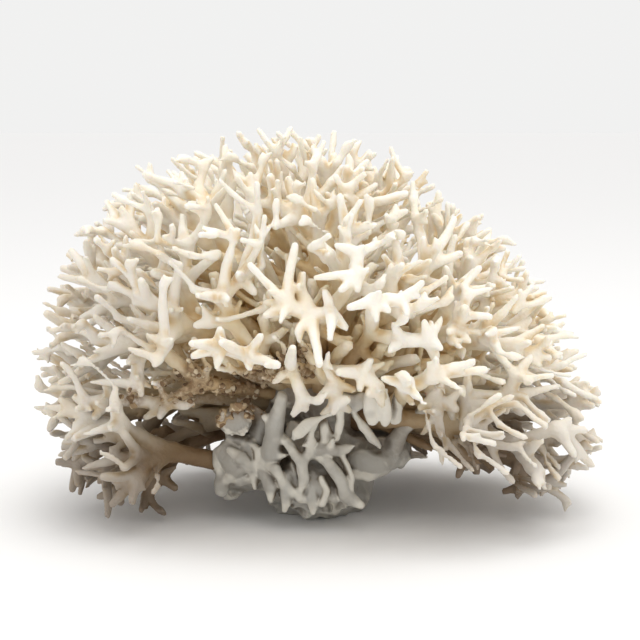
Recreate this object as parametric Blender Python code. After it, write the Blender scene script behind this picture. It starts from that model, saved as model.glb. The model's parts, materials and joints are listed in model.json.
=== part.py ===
"""A bleached colony of branching coral, cut flat where it grew, as one Blender scene in metres.

The colony stands on a lumpy holdfast. Boughs rise from the crown of the holdfast in all directions
and fork again and again into short tapering twigs, which end on a dome. Each bough is one object.
+Z is up, the camera side is -Y, and the origin is under the middle of the colony, on the cut face.
"""

import itertools
import math
import random

import bmesh
import bpy
from mathutils import Matrix, Quaternion, Vector
from mathutils.bvhtree import BVHTree

MM = 0.001
SEED = 11

# The dome, in millimetres. Twigs end on it, measured from the centre of growth.
CENTRE = Vector((0.0, 0.0, 43.0))
ROOT_GAPS = (0.3, 0.6, 1.0, 1.5, 2.2, 3.0)  # the first that keeps a bough clear of the holdfast
MEAN_REACH = 100.0
FRONT_REACH = 86.0
BACK_REACH = 96.0
# Reach at each angle of the outline seen from the front, in degrees from +X through the top.
OUTLINE = (
    (-45, 86), (-30, 104), (-10, 109), (0, 107), (15, 101), (30, 97), (45, 93), (60, 94), (75, 99),
    (90, 102), (105, 102), (120, 105), (135, 109), (150, 113), (165, 112), (180, 107), (195, 101),
    (210, 95), (225, 86),
)
LOWEST_ELEVATION = -27.0  # of the skirt, in degrees below the centre of growth
BARE_FRONT_ELEVATION = 13.0  # below this the front is left to the boughs placed by hand
BARE_FRONT_HALF_ANGLE = 52.0

# Twigs and limbs.
BOUGH_COUNT = 66  # on a whole sphere; about half of them fall inside the dome
BOUGH_PARTING = 18.0  # the least angle between two boughs at the crown, in degrees
FEWEST_TWIGS = 3  # that make a bough
TWIG_SPACING = 12.2
THINNER_BACK = 0.25  # the share of twigs left out of the back, which grows less dense
TIP_RADIUS = 1.05
TWIG_RADIUS = 1.85
TWIG_UNEVENNESS = (0.85, 1.25)  # a tip's radius, over TIP_RADIUS
TWIG_DEPTHS = (0.88, 1.03)  # where the tips end, over the dome's reach
THICKENING = 0.22  # a limb that carries n twigs is n to this power times as thick
SHORTEST_LIMB = 7.0
LONGEST_LIMB = 44.0  # a longer one gets a knot with spurs half way
MOST_BRANCHES = 5  # at one fork
SPUR_LENGTHS = (5.0, 11.0)
SPURS_PER_FORK = 2
SPURLESS_REACH = 48.0  # nearer the centre of growth than this the limbs are bare
SPUR_PARTING = 50.0  # the least angle between a spur and what else grows there, in degrees
SPUR_TURN = 137.0  # from one try at a spur's place to the next, in degrees
SPUR_TRIES = 7
FILL_DISTANCE = 9.0  # a spot on the dome this far from every tip gets a twig of its own
FILL_REACH = 30.0
FILL_PARTING = 34.0
FILL_LEAN = 74.0  # the most such a twig leans away from the outward direction, in degrees
LOWEST_TIP = 4.0
CLEARANCE = 0.5
STEM_CLEARANCE = 0.1
FLOOR_CLEARANCE = 0.5
SHORTENINGS = (1.0, 0.8, 0.62)

# A limb is a square tube. Its corners stand out by this much over the round limb's radius.
CORNER = 1.18
BLOCK_HALF = 0.85  # half the length of the block at a fork, over the limb's radius
TURNS = 9  # how many ways a fork's block is turned to find the one that faces its children best

# Ways to move a limb aside where it lacks room, in steps.
ASIDE_STEP = 2.5
ASIDE = (
    (0, 0, 0), (1, 0, 0), (-1, 0, 0), (0, 1, 0), (0, -1, 0), (0, 0, 1), (0, 0, -1), (1, 1, 1),
    (-1, -1, 1), (1, -1, -1), (-1, 1, -1), (2, 0, 0), (-2, 0, 0), (0, 2, 0), (0, -2, 0), (0, 0, 2),
)

# The camera that the photograph was taken with, as far as its picture tells.
PHOTO_MIDDLE = 320.0
PIXELS_PER_MM = 2.59  # at the middle of the colony
CAMERA_DISTANCE = 700.0
CAMERA_HEIGHT_ANGLE = 8.0
CAMERA_TARGET = Vector((0.0, 0.0, 75.0))

TWIG_COLOUR = (0.86, 0.80, 0.69, 1.0)
HOLDFAST_COLOUR = (0.60, 0.55, 0.49, 1.0)


def seen_at(pixel_x, pixel_y, depth):
    """The point that lies depth millimetres behind the colony's middle and shows at that pixel."""
    angle = math.radians(CAMERA_HEIGHT_ANGLE)
    forward = Vector((0, math.cos(angle), -math.sin(angle)))
    upward = Vector((0, math.sin(angle), math.cos(angle)))
    eye = CAMERA_TARGET - forward * CAMERA_DISTANCE
    focal = PIXELS_PER_MM * CAMERA_DISTANCE
    ray = forward + Vector((1, 0, 0)) * ((pixel_x - PHOTO_MIDDLE) / focal)
    ray += upward * ((PHOTO_MIDDLE - pixel_y) / focal)
    return eye + ray * ((depth - eye.y) / ray.y)


# The boughs that the photograph shows twig by twig. Each entry is the pixel and the depth, in
# millimetres, of a fork, a bend or a tip, followed by what grows from it.
FRONT_BOUGHS = {
    "front_right": (370, 335, -42,
        (373, 301, -72,
            (346, 308, -77), (377, 323, -77), (391, 312, -76), (381, 290, -77),
            (402, 300, -70, (425, 281, -70))),
        (400, 340, -58,
            (388, 352, -66), (393, 322, -64),
            (428, 340, -60, (430, 368, -60, (457, 381, -64)), (424, 320, -64), (443, 350, -64)))),
    "front_middle": (325, 320, -38,
        (356, 276, -62,
            (312, 278, -67), (339, 292, -68), (358, 293, -66), (370, 268, -66),
            (357, 254, -60, (334, 244, -63), (365, 244, -62))),
        (312, 316, -58,
            (295, 334, -66), (288, 306, -60, (262, 317, -63), (276, 293, -63), (263, 302, -57)),
            (330, 312, -60, (324, 288, -65), (348, 330, -62)), (300, 291, -56, (303, 270, -57)))),
    "front_left": (262, 362, -38,
        (221, 346, -60,
            (220, 327, -68), (190, 357, -64), (216, 370, -66),
            (246, 354, -59, (250, 370, -64), (274, 365, -60))),
        (232, 322, -46,
            (211, 322, -50, (193, 326, -52)),
            (222, 299, -49, (190, 288, -52), (240, 279, -46, (265, 264, -47), (257, 295, -50))))),
    "far_left": (205, 383, -30,
        (158, 347, -40,
            (149, 327, -44, (112, 317, -48), (132, 333, -50)),
            (140, 356, -42,
                (98, 328, -46), (127, 363, -53), (137, 378, -46, (128, 395, -50), (142, 397, -52)))),
        (168, 402, -36,
            (143, 419, -41), (159, 418, -46), (190, 407, -44),
            (113, 399, -38,
                (88, 404, -39, (70, 413, -39), (73, 396, -36)), (92, 419, -42), (104, 383, -42)))),
    "centre_low": (318, 372, -36,
        (292, 368, -50, (303, 398, -54, (292, 417, -58), (307, 413, -55)), (272, 384, -54)),
        (334, 384, -50, (337, 402, -55, (332, 416, -58), (350, 399, -58)), (318, 398, -57)),
        (362, 372, -54,
            (336, 372, -62), (372, 358, -60), (378, 388, -56, (383, 408, -58), (366, 396, -58)))),
    "lower_right": (425, 385, -28,
        (435, 397, -46,
            (437, 413, -52, (443, 440, -54)), (447, 403, -50, (459, 411, -54)), (417, 410, -50)),
        (466, 396, -42,
            (462, 433, -50), (479, 424, -50, (491, 446, -52), (474, 448, -54)), (467, 372, -50),
            (505, 397, -40,
                (516, 376, -43, (533, 354, -44), (541, 377, -44)), (506, 415, -46),
                (527, 414, -41, (546, 426, -42), (528, 441, -42))))),
    "skirt_left": (186, 444, 6,
        (150, 448, -16,
            (106, 447, -14, (80, 463, -12, (54, 462, -14), (78, 487, -20)), (62, 443, -14)),
            (108, 468, -20, (98, 484, -22))),
        (162, 475, -12,
            (118, 490, -14, (96, 498, -16), (121, 505, -19)), (147, 496, -14, (145, 511, -15)),
            (177, 490, -18))),
    "skirt_right": (446, 440, 3,
        (468, 446, -20, (457, 479, -25), (479, 475, -26), (486, 452, -26)),
        (519, 462, -12,
            (544, 483, -12, (568, 485, -14), (541, 497, -18)), (521, 486, -16, (516, 500, -17)),
            (560, 462, -10, (591, 469, -12), (585, 452, -14)))),
}

# The holdfast's lumps: middle and half sizes in millimetres, then the tilt in degrees about Y.
LUMPS = {
    "crown": ((0, 0, 43), (22, 22, 22), 0),  # where most boughs start
    "body": ((-1, 5, 20), (23, 30, 28), 0),
    "left_lobe": ((-29, -14, 20.5), (13, 13, 12.5), 12),
    "middle_lobe": ((-3, -21, 18), (17, 14, 14), 0),
    "right_lobe": ((20, -13, 24), (16, 13, 8), -22),
    "back_lobe": ((6, 25, 22), (20, 12, 13), 10),
}
# Fingers, straps and feet on the holdfast. Each has two ends, given as the pixel and the depth
# where the photograph shows them, and the radius at each end in millimetres.
FINGERS = {
    "upright_finger": ((276, 452, -27), (281, 392, -37), 3.3, 2.0),
    "small_spike": ((261, 452, -12), (265, 418, -29), 2.6, 0.9),
    "strap": ((283, 440, -30), (301, 492, -36), 2.8, 2.2),
    "foot_strap": ((333, 460, -29), (344, 499, -34), 3.2, 2.6),
    "arched_band": ((306, 454, -31), (352, 447, -27), 2.4, 2.2),
    "toe": ((338, 488, -30), (361, 505, -34), 3.0, 1.9),
    "foot_left": ((226, 470, -20), (223, 489, -25), 3.4, 2.4),
    "foot_small": ((240, 468, -20), (241, 485, -26), 2.8, 1.8),
    "drip": ((256, 470, -22), (255, 489, -29), 2.4, 1.2),
    "foot_inner": ((268, 474, -28), (270, 496, -34), 3.2, 1.4),
    "foot_middle": ((286, 480, -30), (283, 509, -34), 3.2, 1.4),
    "foot_front": ((312, 482, -29), (313, 511, -34), 3.4, 1.4),
    "barnacle": ((240, 432, -14), (236, 420, -30), 6.0, 5.2),
    "needle": ((376, 446, -16), (355, 414, -30), 2.4, 1.2),
}


class Joint:
    """A point of the skeleton, where a limb forks, bends or ends."""

    def __init__(self, point, radius=0.0, is_spur=False):
        self.point = Vector(point)
        self.radius = radius
        self.is_spur = is_spur
        self.children = []

    def twigs(self):
        """How many tips this joint carries, spurs left out."""
        if not self.children:
            return 1
        return max(1, sum(child.twigs() for child in self.children if not child.is_spur))


class Crowd:
    """Sample balls along every limb laid so far, in a grid of cells, to test a new limb for room."""

    CELL = 8.0
    STEP = 1.5

    def __init__(self, holdfast_tree):
        self.cells = {}
        self.holdfast_tree = holdfast_tree

    def balls(self, start, end):
        count = max(2, math.ceil((end.point - start.point).length / self.STEP) + 1)
        for number in range(count):
            share = number / (count - 1)
            radius = start.radius + (end.radius - start.radius) * share
            yield start.point.lerp(end.point, share), radius

    def cell(self, point):
        return tuple(math.floor(value / self.CELL) for value in point)

    def add(self, owner, start, end):
        for point, radius in self.balls(start, end):
            self.cells.setdefault(self.cell(point), []).append((point, radius, owner))

    def has_room(self, owner, start, end, beside_own=False):
        """Whether the limb clears the floor and the other boughs, and if beside_own is set, its own.

        Near its own fork a limb may touch its neighbours.
        """
        fork_reach = 2.0 * start.radius + 2.0
        is_stem = self.holdfast_tree.find_nearest(start.point)[3] < 2 * ROOT_GAPS[0]
        clearance = STEM_CLEARANCE if is_stem else CLEARANCE
        for point, radius in self.balls(start, end):
            if point.z - CORNER * radius < FLOOR_CLEARANCE:
                return False
            near_fork = (point - start.point).length < fork_reach
            if not near_fork or not is_stem:
                surface = self.holdfast_tree.find_nearest(point)[3]
                if surface < CORNER * radius + clearance:
                    return False
            for other, other_radius, other_owner in self.neighbours(point):
                touching = CORNER * (radius + other_radius)
                if other_owner == owner:
                    at_fork = near_fork or (other - start.point).length < fork_reach
                    if beside_own and not at_fork and (other - point).length < touching:
                        return False
                elif (other - point).length < touching + clearance:
                    return False
        return True

    def neighbours(self, point):
        middle = self.cell(point)
        for step in itertools.product((-1, 0, 1), repeat=3):
            yield from self.cells.get(tuple(map(sum, zip(middle, step))), ())


def limb_radius(twigs):
    return TWIG_RADIUS * twigs**THICKENING


def reach(direction):
    """How far the dome lies from the centre of growth in that direction."""
    angle = math.degrees(math.atan2(direction.z, direction.x))
    angle = angle + 360 if angle < -90 else angle
    low = (OUTLINE[-1][0] - 360, OUTLINE[-1][1])
    high = (OUTLINE[0][0] + 360, OUTLINE[0][1])
    points = (low, *OUTLINE, high)
    for (a, near), (b, far) in zip(points, points[1:]):
        if a <= angle <= b:
            outline = near + (far - near) * (angle - a) / (b - a)
    depth = BACK_REACH if direction.y > 0 else FRONT_REACH
    share = direction.y**2
    return outline * (1 - share) + depth * share


def sphere_points(count, dice, wobble):
    """Directions spread evenly over a sphere on a golden spiral, each moved a little."""
    golden_angle = math.pi * (3 - math.sqrt(5))
    for number in range(count):
        z = 1 - (2 * number + 1) / count
        around = golden_angle * number
        across = math.sqrt(1 - z * z)
        point = Vector((math.cos(around) * across, math.sin(around) * across, z))
        moved = point + Vector([dice.uniform(-wobble, wobble) for _ in range(3)])
        yield moved.normalized()


def is_dome(direction):
    """Whether the dome covers that direction and no hand-placed bough does."""
    elevation = math.degrees(math.asin(max(-1.0, min(1.0, direction.z))))
    from_front = math.degrees(math.atan2(direction.x, -direction.y))
    if elevation < LOWEST_ELEVATION:
        return False
    return elevation > BARE_FRONT_ELEVATION or abs(from_front) > BARE_FRONT_HALF_ANGLE


def surface_point(point, heading, gap, holdfast_tree):
    """Where the line through the point along heading leaves the holdfast, with the gap added."""
    hit = holdfast_tree.ray_cast(point + heading * 80, -heading)[0]
    return hit + heading * gap if hit else point


def root_joint(towards, holdfast_tree):
    """The start of the bough that heads that way, on the holdfast's surface."""
    heading = (towards - CENTRE).normalized()
    return Joint(surface_point(CENTRE, heading, ROOT_GAPS[0], holdfast_tree))


def placed_joint(entry):
    """The skeleton of one entry of FRONT_BOUGHS."""
    joint = Joint(seen_at(*entry[:3]))
    joint.children = [placed_joint(child) for child in entry[3:]]
    return joint


def split_in_two(targets):
    """The targets in two groups, parted across the line along which they spread most."""
    middle = sum(targets, Vector()) / len(targets)
    first = max(targets, key=lambda target: (target - middle).length)
    second = max(targets, key=lambda target: (target - first).length)
    line = second - first
    ordered = sorted(targets, key=lambda target: target.dot(line))
    half = max(1, len(ordered) // 2)
    return ordered[:half], ordered[half:]


def grow(joint, targets, dice):
    """Adds the limbs that carry the joint's bough to its targets, forking where they part."""
    if len(targets) == 1:
        joint.children.append(Joint(targets[0]))
        return
    middle = sum(targets, Vector()) / len(targets)
    spread = max((target - middle).length for target in targets)
    way = middle - joint.point
    length = way.length - spread * dice.uniform(1.0, 1.5) - 2.0
    fork = joint
    if length > SHORTEST_LIMB or not joint.children and length > 0.6 * SHORTEST_LIMB:
        aside = Vector([dice.uniform(-1.4, 1.4) for _ in range(3)])
        fork = Joint(joint.point + way.normalized() * length + aside)
        joint.children.append(fork)
    for group in split_in_two(targets):
        grow(fork, group, dice)


def add_knots(joint, dice):
    """Bends long limbs at a knot half way, where spurs can grow."""
    for number, child in enumerate(joint.children):
        add_knots(child, dice)
        length = (child.point - joint.point).length
        if length > LONGEST_LIMB and child.children:
            aside = Vector([dice.uniform(-1.6, 1.6) for _ in range(3)])
            knot = Joint(joint.point.lerp(child.point, dice.uniform(0.4, 0.6)) + aside)
            knot.children = [child]
            joint.children[number] = knot


def tip_radius(dice):
    return TIP_RADIUS * dice.uniform(*TWIG_UNEVENNESS)


def set_radii(joint, dice):
    joint.radius = limb_radius(joint.twigs()) if joint.children else tip_radius(dice)
    for child in joint.children:
        set_radii(child, dice)


def other_root(root, move, holdfast_tree):
    """The root's place when it is moved aside on the holdfast."""
    return root_joint(root.point + Vector(move) * ASIDE_STEP, holdfast_tree).point


def lay_limbs(roots, crowd, holdfast_tree):
    """Keeps the limbs that have room, thick ones first, and drops the others.

    A twig that lacks room is tried again shorter. A limb that lacks room is tried again moved
    aside, then what it carries is tried from the fork before it.
    """
    waiting = [(name, root) for name, root in roots.items()]
    while waiting:
        name, joint = waiting.pop(0)
        at_root = joint is roots[name]
        starts = [joint.point]
        if at_root:
            starts += [other_root(joint, move, holdfast_tree) for move in ASIDE[1:]]
        hopeful = joint.children
        joint.children = []
        while hopeful and not (at_root and joint.children):
            child = hopeful.pop(0)
            if child.children:
                places = [child.point + Vector(move) * ASIDE_STEP for move in ASIDE]
            else:
                places = [joint.point.lerp(child.point, share) for share in SHORTENINGS]
            for start, place in itertools.product(starts, places):
                if crowd.has_room(name, Joint(start, joint.radius), Joint(place, child.radius)):
                    joint.point = start
                    child.point = place
                    crowd.add(name, joint, child)
                    joint.children.append(child)
                    waiting.append((name, child))
                    break
            else:
                branches = len(joint.children) + len(hopeful) + len(child.children)
                if branches <= MOST_BRANCHES or at_root:
                    hopeful += child.children


def is_beside(way, fork, degrees):
    """Whether something already grows from the fork within that angle of the way."""
    return any(way.angle(child.point - fork.point) < math.radians(degrees) for child in fork.children)


def fill_gaps(roots, spots, crowd, dice):
    """Grows twigs from the nearest forks to the spots of the dome that no tip has reached."""
    forks = []
    tips = []
    for name, root in roots.items():
        waiting = list(root.children)
        while waiting:
            joint = waiting.pop()
            waiting += joint.children
            if joint.children:
                forks.append((name, joint))
            else:
                tips.append(joint.point)
    for spot in spots:
        if min((spot - tip).length for tip in tips) < FILL_DISTANCE:
            continue
        near = [fork for fork in forks if (fork[1].point - spot).length < FILL_REACH]
        near.sort(key=lambda fork: (fork[1].point - spot).length)
        for name, joint in near:
            way = spot - joint.point
            if len(joint.children) >= MOST_BRANCHES or is_beside(way, joint, FILL_PARTING):
                continue
            if way.angle(joint.point - CENTRE) > math.radians(FILL_LEAN):
                continue
            twig = Joint(spot, tip_radius(dice))
            if crowd.has_room(name, joint, twig, beside_own=True):
                crowd.add(name, joint, twig)
                joint.children.append(twig)
                tips.append(spot)
                break


def add_spurs(name, joint, heading, crowd, dice):
    """Puts short pointed spurs on the sides of the forks and knots, where they have room."""
    for child in list(joint.children):
        if not child.is_spur:
            add_spurs(name, child, (child.point - joint.point).normalized(), crowd, dice)
    if not joint.children or (joint.point - CENTRE).length < SPURLESS_REACH:
        return
    side = heading.orthogonal()
    turn = dice.uniform(0, 2 * math.pi)
    grown = 0
    for number in range(SPUR_TRIES):
        if len(joint.children) >= MOST_BRANCHES or grown >= SPURS_PER_FORK:
            return
        around = Quaternion(heading, turn + number * math.radians(SPUR_TURN)) @ side
        lean = dice.uniform(0.1, 0.7)
        direction = (around.normalized() + heading * lean).normalized()
        if is_beside(direction, joint, SPUR_PARTING):
            continue
        length = dice.uniform(*SPUR_LENGTHS) + joint.radius
        spur = Joint(joint.point + direction * length, TIP_RADIUS, is_spur=True)
        if crowd.has_room(name, joint, spur, beside_own=True):
            crowd.add(name, joint, spur)
            joint.children.append(spur)
            grown += 1


def region_name(direction):
    elevation = math.degrees(math.asin(direction.z))
    if elevation > 52:
        return "crown_bough"
    if direction.y > 0.55:
        return "back_bough"
    if elevation < 5:
        return "skirt_bough"
    return "left_bough" if direction.x < 0 else "right_bough"


def front_roots(holdfast_tree):
    """The roots of the boughs in FRONT_BOUGHS, by name."""
    roots = {}
    for name, entry in FRONT_BOUGHS.items():
        first = placed_joint(entry)
        roots[name] = root_joint(first.point, holdfast_tree)
        roots[name].children = [first]
    return roots


def dome_targets(headings, dice):
    """Where the dome's twigs end: a list for each bough heading, of the spots nearest to it."""
    count = round(4 * math.pi * MEAN_REACH**2 / TWIG_SPACING**2)
    targets = [[] for _ in headings]
    for direction in sphere_points(count, dice, 0.45 * TWIG_SPACING / MEAN_REACH):
        target = CENTRE + direction * reach(direction) * dice.uniform(*TWIG_DEPTHS)
        thinned = direction.y > 0.35 and dice.random() < THINNER_BACK
        if is_dome(direction) and target.z > LOWEST_TIP and not thinned:
            nearest = min(range(len(headings)), key=lambda number: headings[number].angle(direction))
            targets[nearest].append(target)
    return targets


def skeleton(holdfast_tree):
    """Every bough's root joint by name, with its whole tree of limbs."""
    dice = random.Random(SEED)
    roots = front_roots(holdfast_tree)
    taken = [(root.point - CENTRE).normalized() for root in roots.values()]
    parting = math.radians(BOUGH_PARTING)
    headings = [
        direction
        for direction in sphere_points(BOUGH_COUNT, dice, 0.05)
        if is_dome(direction) and all(direction.angle(other) > parting for other in taken)
    ]
    targets = dome_targets(headings, dice)
    for number, (heading, mine) in enumerate(zip(headings, targets)):
        if len(mine) >= FEWEST_TWIGS:
            root = root_joint(CENTRE + heading, holdfast_tree)
            grow(root, mine, dice)
            roots[region_name(heading), number] = root
    crowd = Crowd(holdfast_tree)
    for root in roots.values():
        add_knots(root, dice)
        set_radii(root, dice)
    lay_limbs(roots, crowd, holdfast_tree)
    roots = {name: root for name, root in roots.items() if root.twigs() >= FEWEST_TWIGS}
    fill_gaps(roots, [spot for group in targets for spot in group], crowd, dice)
    for name, root in roots.items():
        stem = root.children[0]
        add_spurs(name, stem, (stem.point - root.point).normalized(), crowd, dice)
    return numbered(roots)


def numbered(roots):
    """The boughs by their final names: those of the dome count from 1 in each region."""
    named = {}
    counts = {}
    for name, root in roots.items():
        if name not in FRONT_BOUGHS:
            region = name[0]
            counts[region] = counts.get(region, 0) + 1
            name = f"{region}_{counts[region]}"
        named[name] = root
    return named


def direction_of(child, fork):
    return (child.point - fork.point).normalized()


class Cage:
    """The faceted skin of one bough, grown face by face along its skeleton."""

    def __init__(self, root, gap, holdfast_tree):
        self.mesh = bmesh.new()
        self.limb_of = self.mesh.faces.layers.int.new("limb")
        self.limbs = []
        stem = root.children[0]
        way = stem.point - root.point
        heading = way.normalized()
        length = way.length - BLOCK_HALF * stem.radius
        placing = Matrix.Translation(root.point + heading * length / 2)
        placing @= heading.to_track_quat("Z", "Y").to_matrix().to_4x4()
        bmesh.ops.create_cone(
            self.mesh, cap_ends=True, segments=4, depth=length, matrix=placing,
            radius1=root.radius * CORNER, radius2=stem.radius * CORNER,
        )
        top = max(self.mesh.faces, key=lambda face: face.calc_center_median().dot(heading))
        for vertex in self.mesh.verts:
            if vertex not in top.verts[:]:
                vertex.co = surface_point(vertex.co, heading, gap, holdfast_tree)
        self.mark(stem, self.mesh.faces)
        if len(stem.children) > 1:
            self.fork(top, stem, heading, 0.0)
        else:
            for child in stem.children:
                self.limb(top, stem, child)
        bmesh.ops.triangulate(self.mesh, faces=self.mesh.faces, quad_method="SHORT_EDGE")
        bmesh.ops.recalc_face_normals(self.mesh, faces=self.mesh.faces)

    def mark(self, limb, faces):
        """Notes which limb the faces belong to."""
        self.limbs.append(limb)
        for face in faces:
            face[self.limb_of] = len(self.limbs) - 1

    def extend(self, limb, face, centre, radius, heading, corner=None):
        """Extrudes one square face to a new square about centre, and returns that new end.

        The new square is turned as the old one is, or so that one corner points along corner.
        """
        end = bmesh.ops.extrude_discrete_faces(self.mesh, faces=[face])["faces"][0]
        middle = end.calc_center_median()
        spoke = Vector()
        for number, vertex in enumerate(end.verts):
            flat = vertex.co - middle
            flat -= flat.project(heading)
            spoke += Quaternion(heading, -number * math.pi / 2) @ flat
        spoke.normalize()
        if corner is not None:
            corners = [Quaternion(heading, number * math.pi / 2) @ corner for number in range(4)]
            spoke = max(corners, key=lambda option: option.dot(spoke))
        for number, vertex in enumerate(end.verts):
            vertex.co = centre + Quaternion(heading, number * math.pi / 2) @ spoke * (radius * CORNER)
        sides = [face for edge in end.edges for face in edge.link_faces]
        self.mark(limb, sides)
        return end

    def limb(self, face, start, end):
        """Grows the skin from face along one limb and all that it carries."""
        heading = direction_of(end, start)
        if end.is_spur:
            poked = bmesh.ops.poke(self.mesh, faces=[face])
            poked["verts"][0].co = end.point
            self.mark(end, poked["faces"])
        elif not end.children:
            self.extend(end, face, end.point, end.radius, heading)
        elif len(end.children) == 1:
            onward = direction_of(end.children[0], end)
            ring = self.extend(end, face, end.point, end.radius, (heading + onward).normalized())
            self.limb(ring, end, end.children[0])
        else:
            self.fork(face, end, heading, (end.point - face.calc_center_median()).length)

    def fork(self, face, fork, heading, length):
        """Adds the block at a fork, and grows each child from the side that suits it best."""
        side, order = self.best_turn(fork, heading)
        corner = Quaternion(heading, math.pi / 4) @ side
        half = BLOCK_HALF * fork.radius
        if length > 3.0 * half:
            face = self.extend(fork, face, fork.point - heading * half, fork.radius, heading, corner)
        end = self.extend(fork, face, fork.point + heading * half, fork.radius, heading, corner)
        free = [next(other for other in edge.link_faces if other is not end) for edge in end.edges]
        chosen = []
        for child, number in order:
            if number == 0:
                chosen.append((child, end))
                continue
            outward = Quaternion(heading, (number - 1) * math.pi / 2) @ side
            best = max(free, key=lambda face: (face.calc_center_median() - fork.point).dot(outward))
            free.remove(best)
            chosen.append((child, best))
        for child, face in chosen:
            self.limb(face, fork, child)

    def best_turn(self, fork, heading):
        """The turn of the block, and which of its five open sides each child gets; 0 is the end."""
        children = sorted(fork.children, key=lambda child: (child.is_spur, -child.twigs()))[:5]
        ways = [direction_of(child, fork) for child in children]
        across = heading.orthogonal().normalized()
        best = None
        for turn in range(TURNS):
            side = Quaternion(heading, turn * math.pi / 2 / TURNS) @ across
            outward = [heading]
            outward += [Quaternion(heading, number * math.pi / 2) @ side for number in range(4)]
            scores = [[normal.dot(way) for normal in outward] for way in ways]
            for numbers in itertools.permutations(range(5), len(ways)):
                picked = [scores[row][number] for row, number in enumerate(numbers)]
                score = sum(picked) + 2 * min(picked)
                if best is None or score > best[0]:
                    best = (score, side, list(zip(children, numbers)))
        return best[1], best[2]

    def tree(self):
        return BVHTree.FromBMesh(self.mesh)

    def cutting_limbs(self):
        """Pairs of limbs whose skins cut each other."""
        self.mesh.faces.ensure_lookup_table()
        faces = self.mesh.faces
        tree = self.tree()
        pairs = set()
        for first, second in tree.overlap(tree):
            if first < second and not set(faces[first].verts) & set(faces[second].verts):
                pairs.add((faces[first][self.limb_of], faces[second][self.limb_of]))
        return [(self.limbs[first], self.limbs[second]) for first, second in sorted(pairs)]

    def object_mesh(self, name):
        bmesh.ops.scale(self.mesh, vec=(MM, MM, MM), verts=self.mesh.verts)
        mesh = bpy.data.meshes.new(name)
        self.mesh.to_mesh(mesh)
        self.mesh.free()
        return mesh


def drop_limb(joint, limb):
    joint.children = [child for child in joint.children if child is not limb]
    for child in joint.children:
        drop_limb(child, limb)


def bough_mesh(name, root, holdfast_tree):
    """The faceted solid of one bough, without the limbs that would cut another of its limbs."""
    for gap in ROOT_GAPS:
        cage = Cage(root, gap, holdfast_tree)
        if not cage.tree().overlap(holdfast_tree):
            break
    pairs = cage.cutting_limbs()
    while pairs:
        weaker = min(pairs[0], key=lambda limb: (not limb.is_spur, limb.twigs()))
        drop_limb(root, weaker)
        cage = Cage(root, gap, holdfast_tree)
        pairs = cage.cutting_limbs()
    return cage.object_mesh(name)


def add_object(name, mesh, collection, material):
    thing = bpy.data.objects.new(name, mesh)
    collection.objects.link(thing)
    mesh.materials.append(material)
    return thing


def lump_object(name, collection, material):
    """One lump of the holdfast: a ball of flat faces stretched to its half sizes."""
    middle, half_sizes, tilt = LUMPS[name]
    ball = bmesh.new()
    bmesh.ops.create_icosphere(ball, subdivisions=2, radius=1.0)
    bmesh.ops.scale(ball, vec=Vector(half_sizes) * MM, verts=ball.verts)
    bmesh.ops.rotate(ball, matrix=Matrix.Rotation(math.radians(tilt), 3, "Y"), verts=ball.verts)
    bmesh.ops.translate(ball, vec=Vector(middle) * MM, verts=ball.verts)
    mesh = bpy.data.meshes.new(name)
    ball.to_mesh(mesh)
    ball.free()
    return add_object(name, mesh, collection, material)


def finger_object(name, collection, material):
    """One finger or foot of the holdfast: a tapered prism."""
    first, last, thick, thin = FINGERS[name]
    start = seen_at(*first) * MM
    end = seen_at(*last) * MM
    way = end - start
    placing = Matrix.Translation((start + end) / 2) @ way.to_track_quat("Z", "Y").to_matrix().to_4x4()
    prism = bmesh.new()
    bmesh.ops.create_cone(
        prism, cap_ends=True, segments=5, depth=way.length, matrix=placing,
        radius1=thick * MM, radius2=thin * MM,
    )
    mesh = bpy.data.meshes.new(name)
    prism.to_mesh(mesh)
    prism.free()
    return add_object(name, mesh, collection, material)


def combine(target, other, operation):
    modifier = target.modifiers.new(other.name, "BOOLEAN")
    modifier.operation = operation
    modifier.object = other
    other.hide_render = True
    other.display_type = "WIRE"


def holdfast(collection, tools, material):
    """The lumpy foot of the colony, cut flat at the floor."""
    body = lump_object("body", collection, material)
    body.name = "holdfast"
    for name in LUMPS:
        if name != "body":
            combine(body, lump_object(name, tools, material), "UNION")
    for name in FINGERS:
        combine(body, finger_object(name, tools, material), "UNION")
    block = bmesh.new()
    bmesh.ops.create_cube(block, size=0.3, matrix=Matrix.Translation((0, 0, -0.15)))
    mesh = bpy.data.meshes.new("floor_cutter")
    block.to_mesh(mesh)
    block.free()
    combine(body, add_object("floor_cutter", mesh, tools, material), "DIFFERENCE")
    return body


def surface_tree(thing):
    """The object's finished surface in millimetres, for finding points on it."""
    finished = thing.evaluated_get(bpy.context.evaluated_depsgraph_get()).to_mesh()
    points = [vertex.co / MM for vertex in finished.vertices]
    return BVHTree.FromPolygons(points, [face.vertices for face in finished.polygons])


def stony_material(name, colour):
    material = bpy.data.materials.new(name)
    material.use_nodes = True
    shader = material.node_tree.nodes["Principled BSDF"]
    shader.inputs["Base Color"].default_value = colour
    shader.inputs["Roughness"].default_value = 0.8
    shader.inputs["Metallic"].default_value = 0.0
    return material


def new_collection(name):
    collection = bpy.data.collections.new(name)
    bpy.context.scene.collection.children.link(collection)
    return collection


def main():
    for thing in list(bpy.data.objects):
        bpy.data.objects.remove(thing)
    colony = new_collection("branching_coral")
    tools = new_collection("cutters")
    foot = holdfast(colony, tools, stony_material("grey_holdfast", HOLDFAST_COLOUR))
    holdfast_tree = surface_tree(foot)
    bleached = stony_material("bleached_twigs", TWIG_COLOUR)
    for name, root in skeleton(holdfast_tree).items():
        add_object(name, bough_mesh(name, root, holdfast_tree), colony, bleached)


main()
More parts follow.
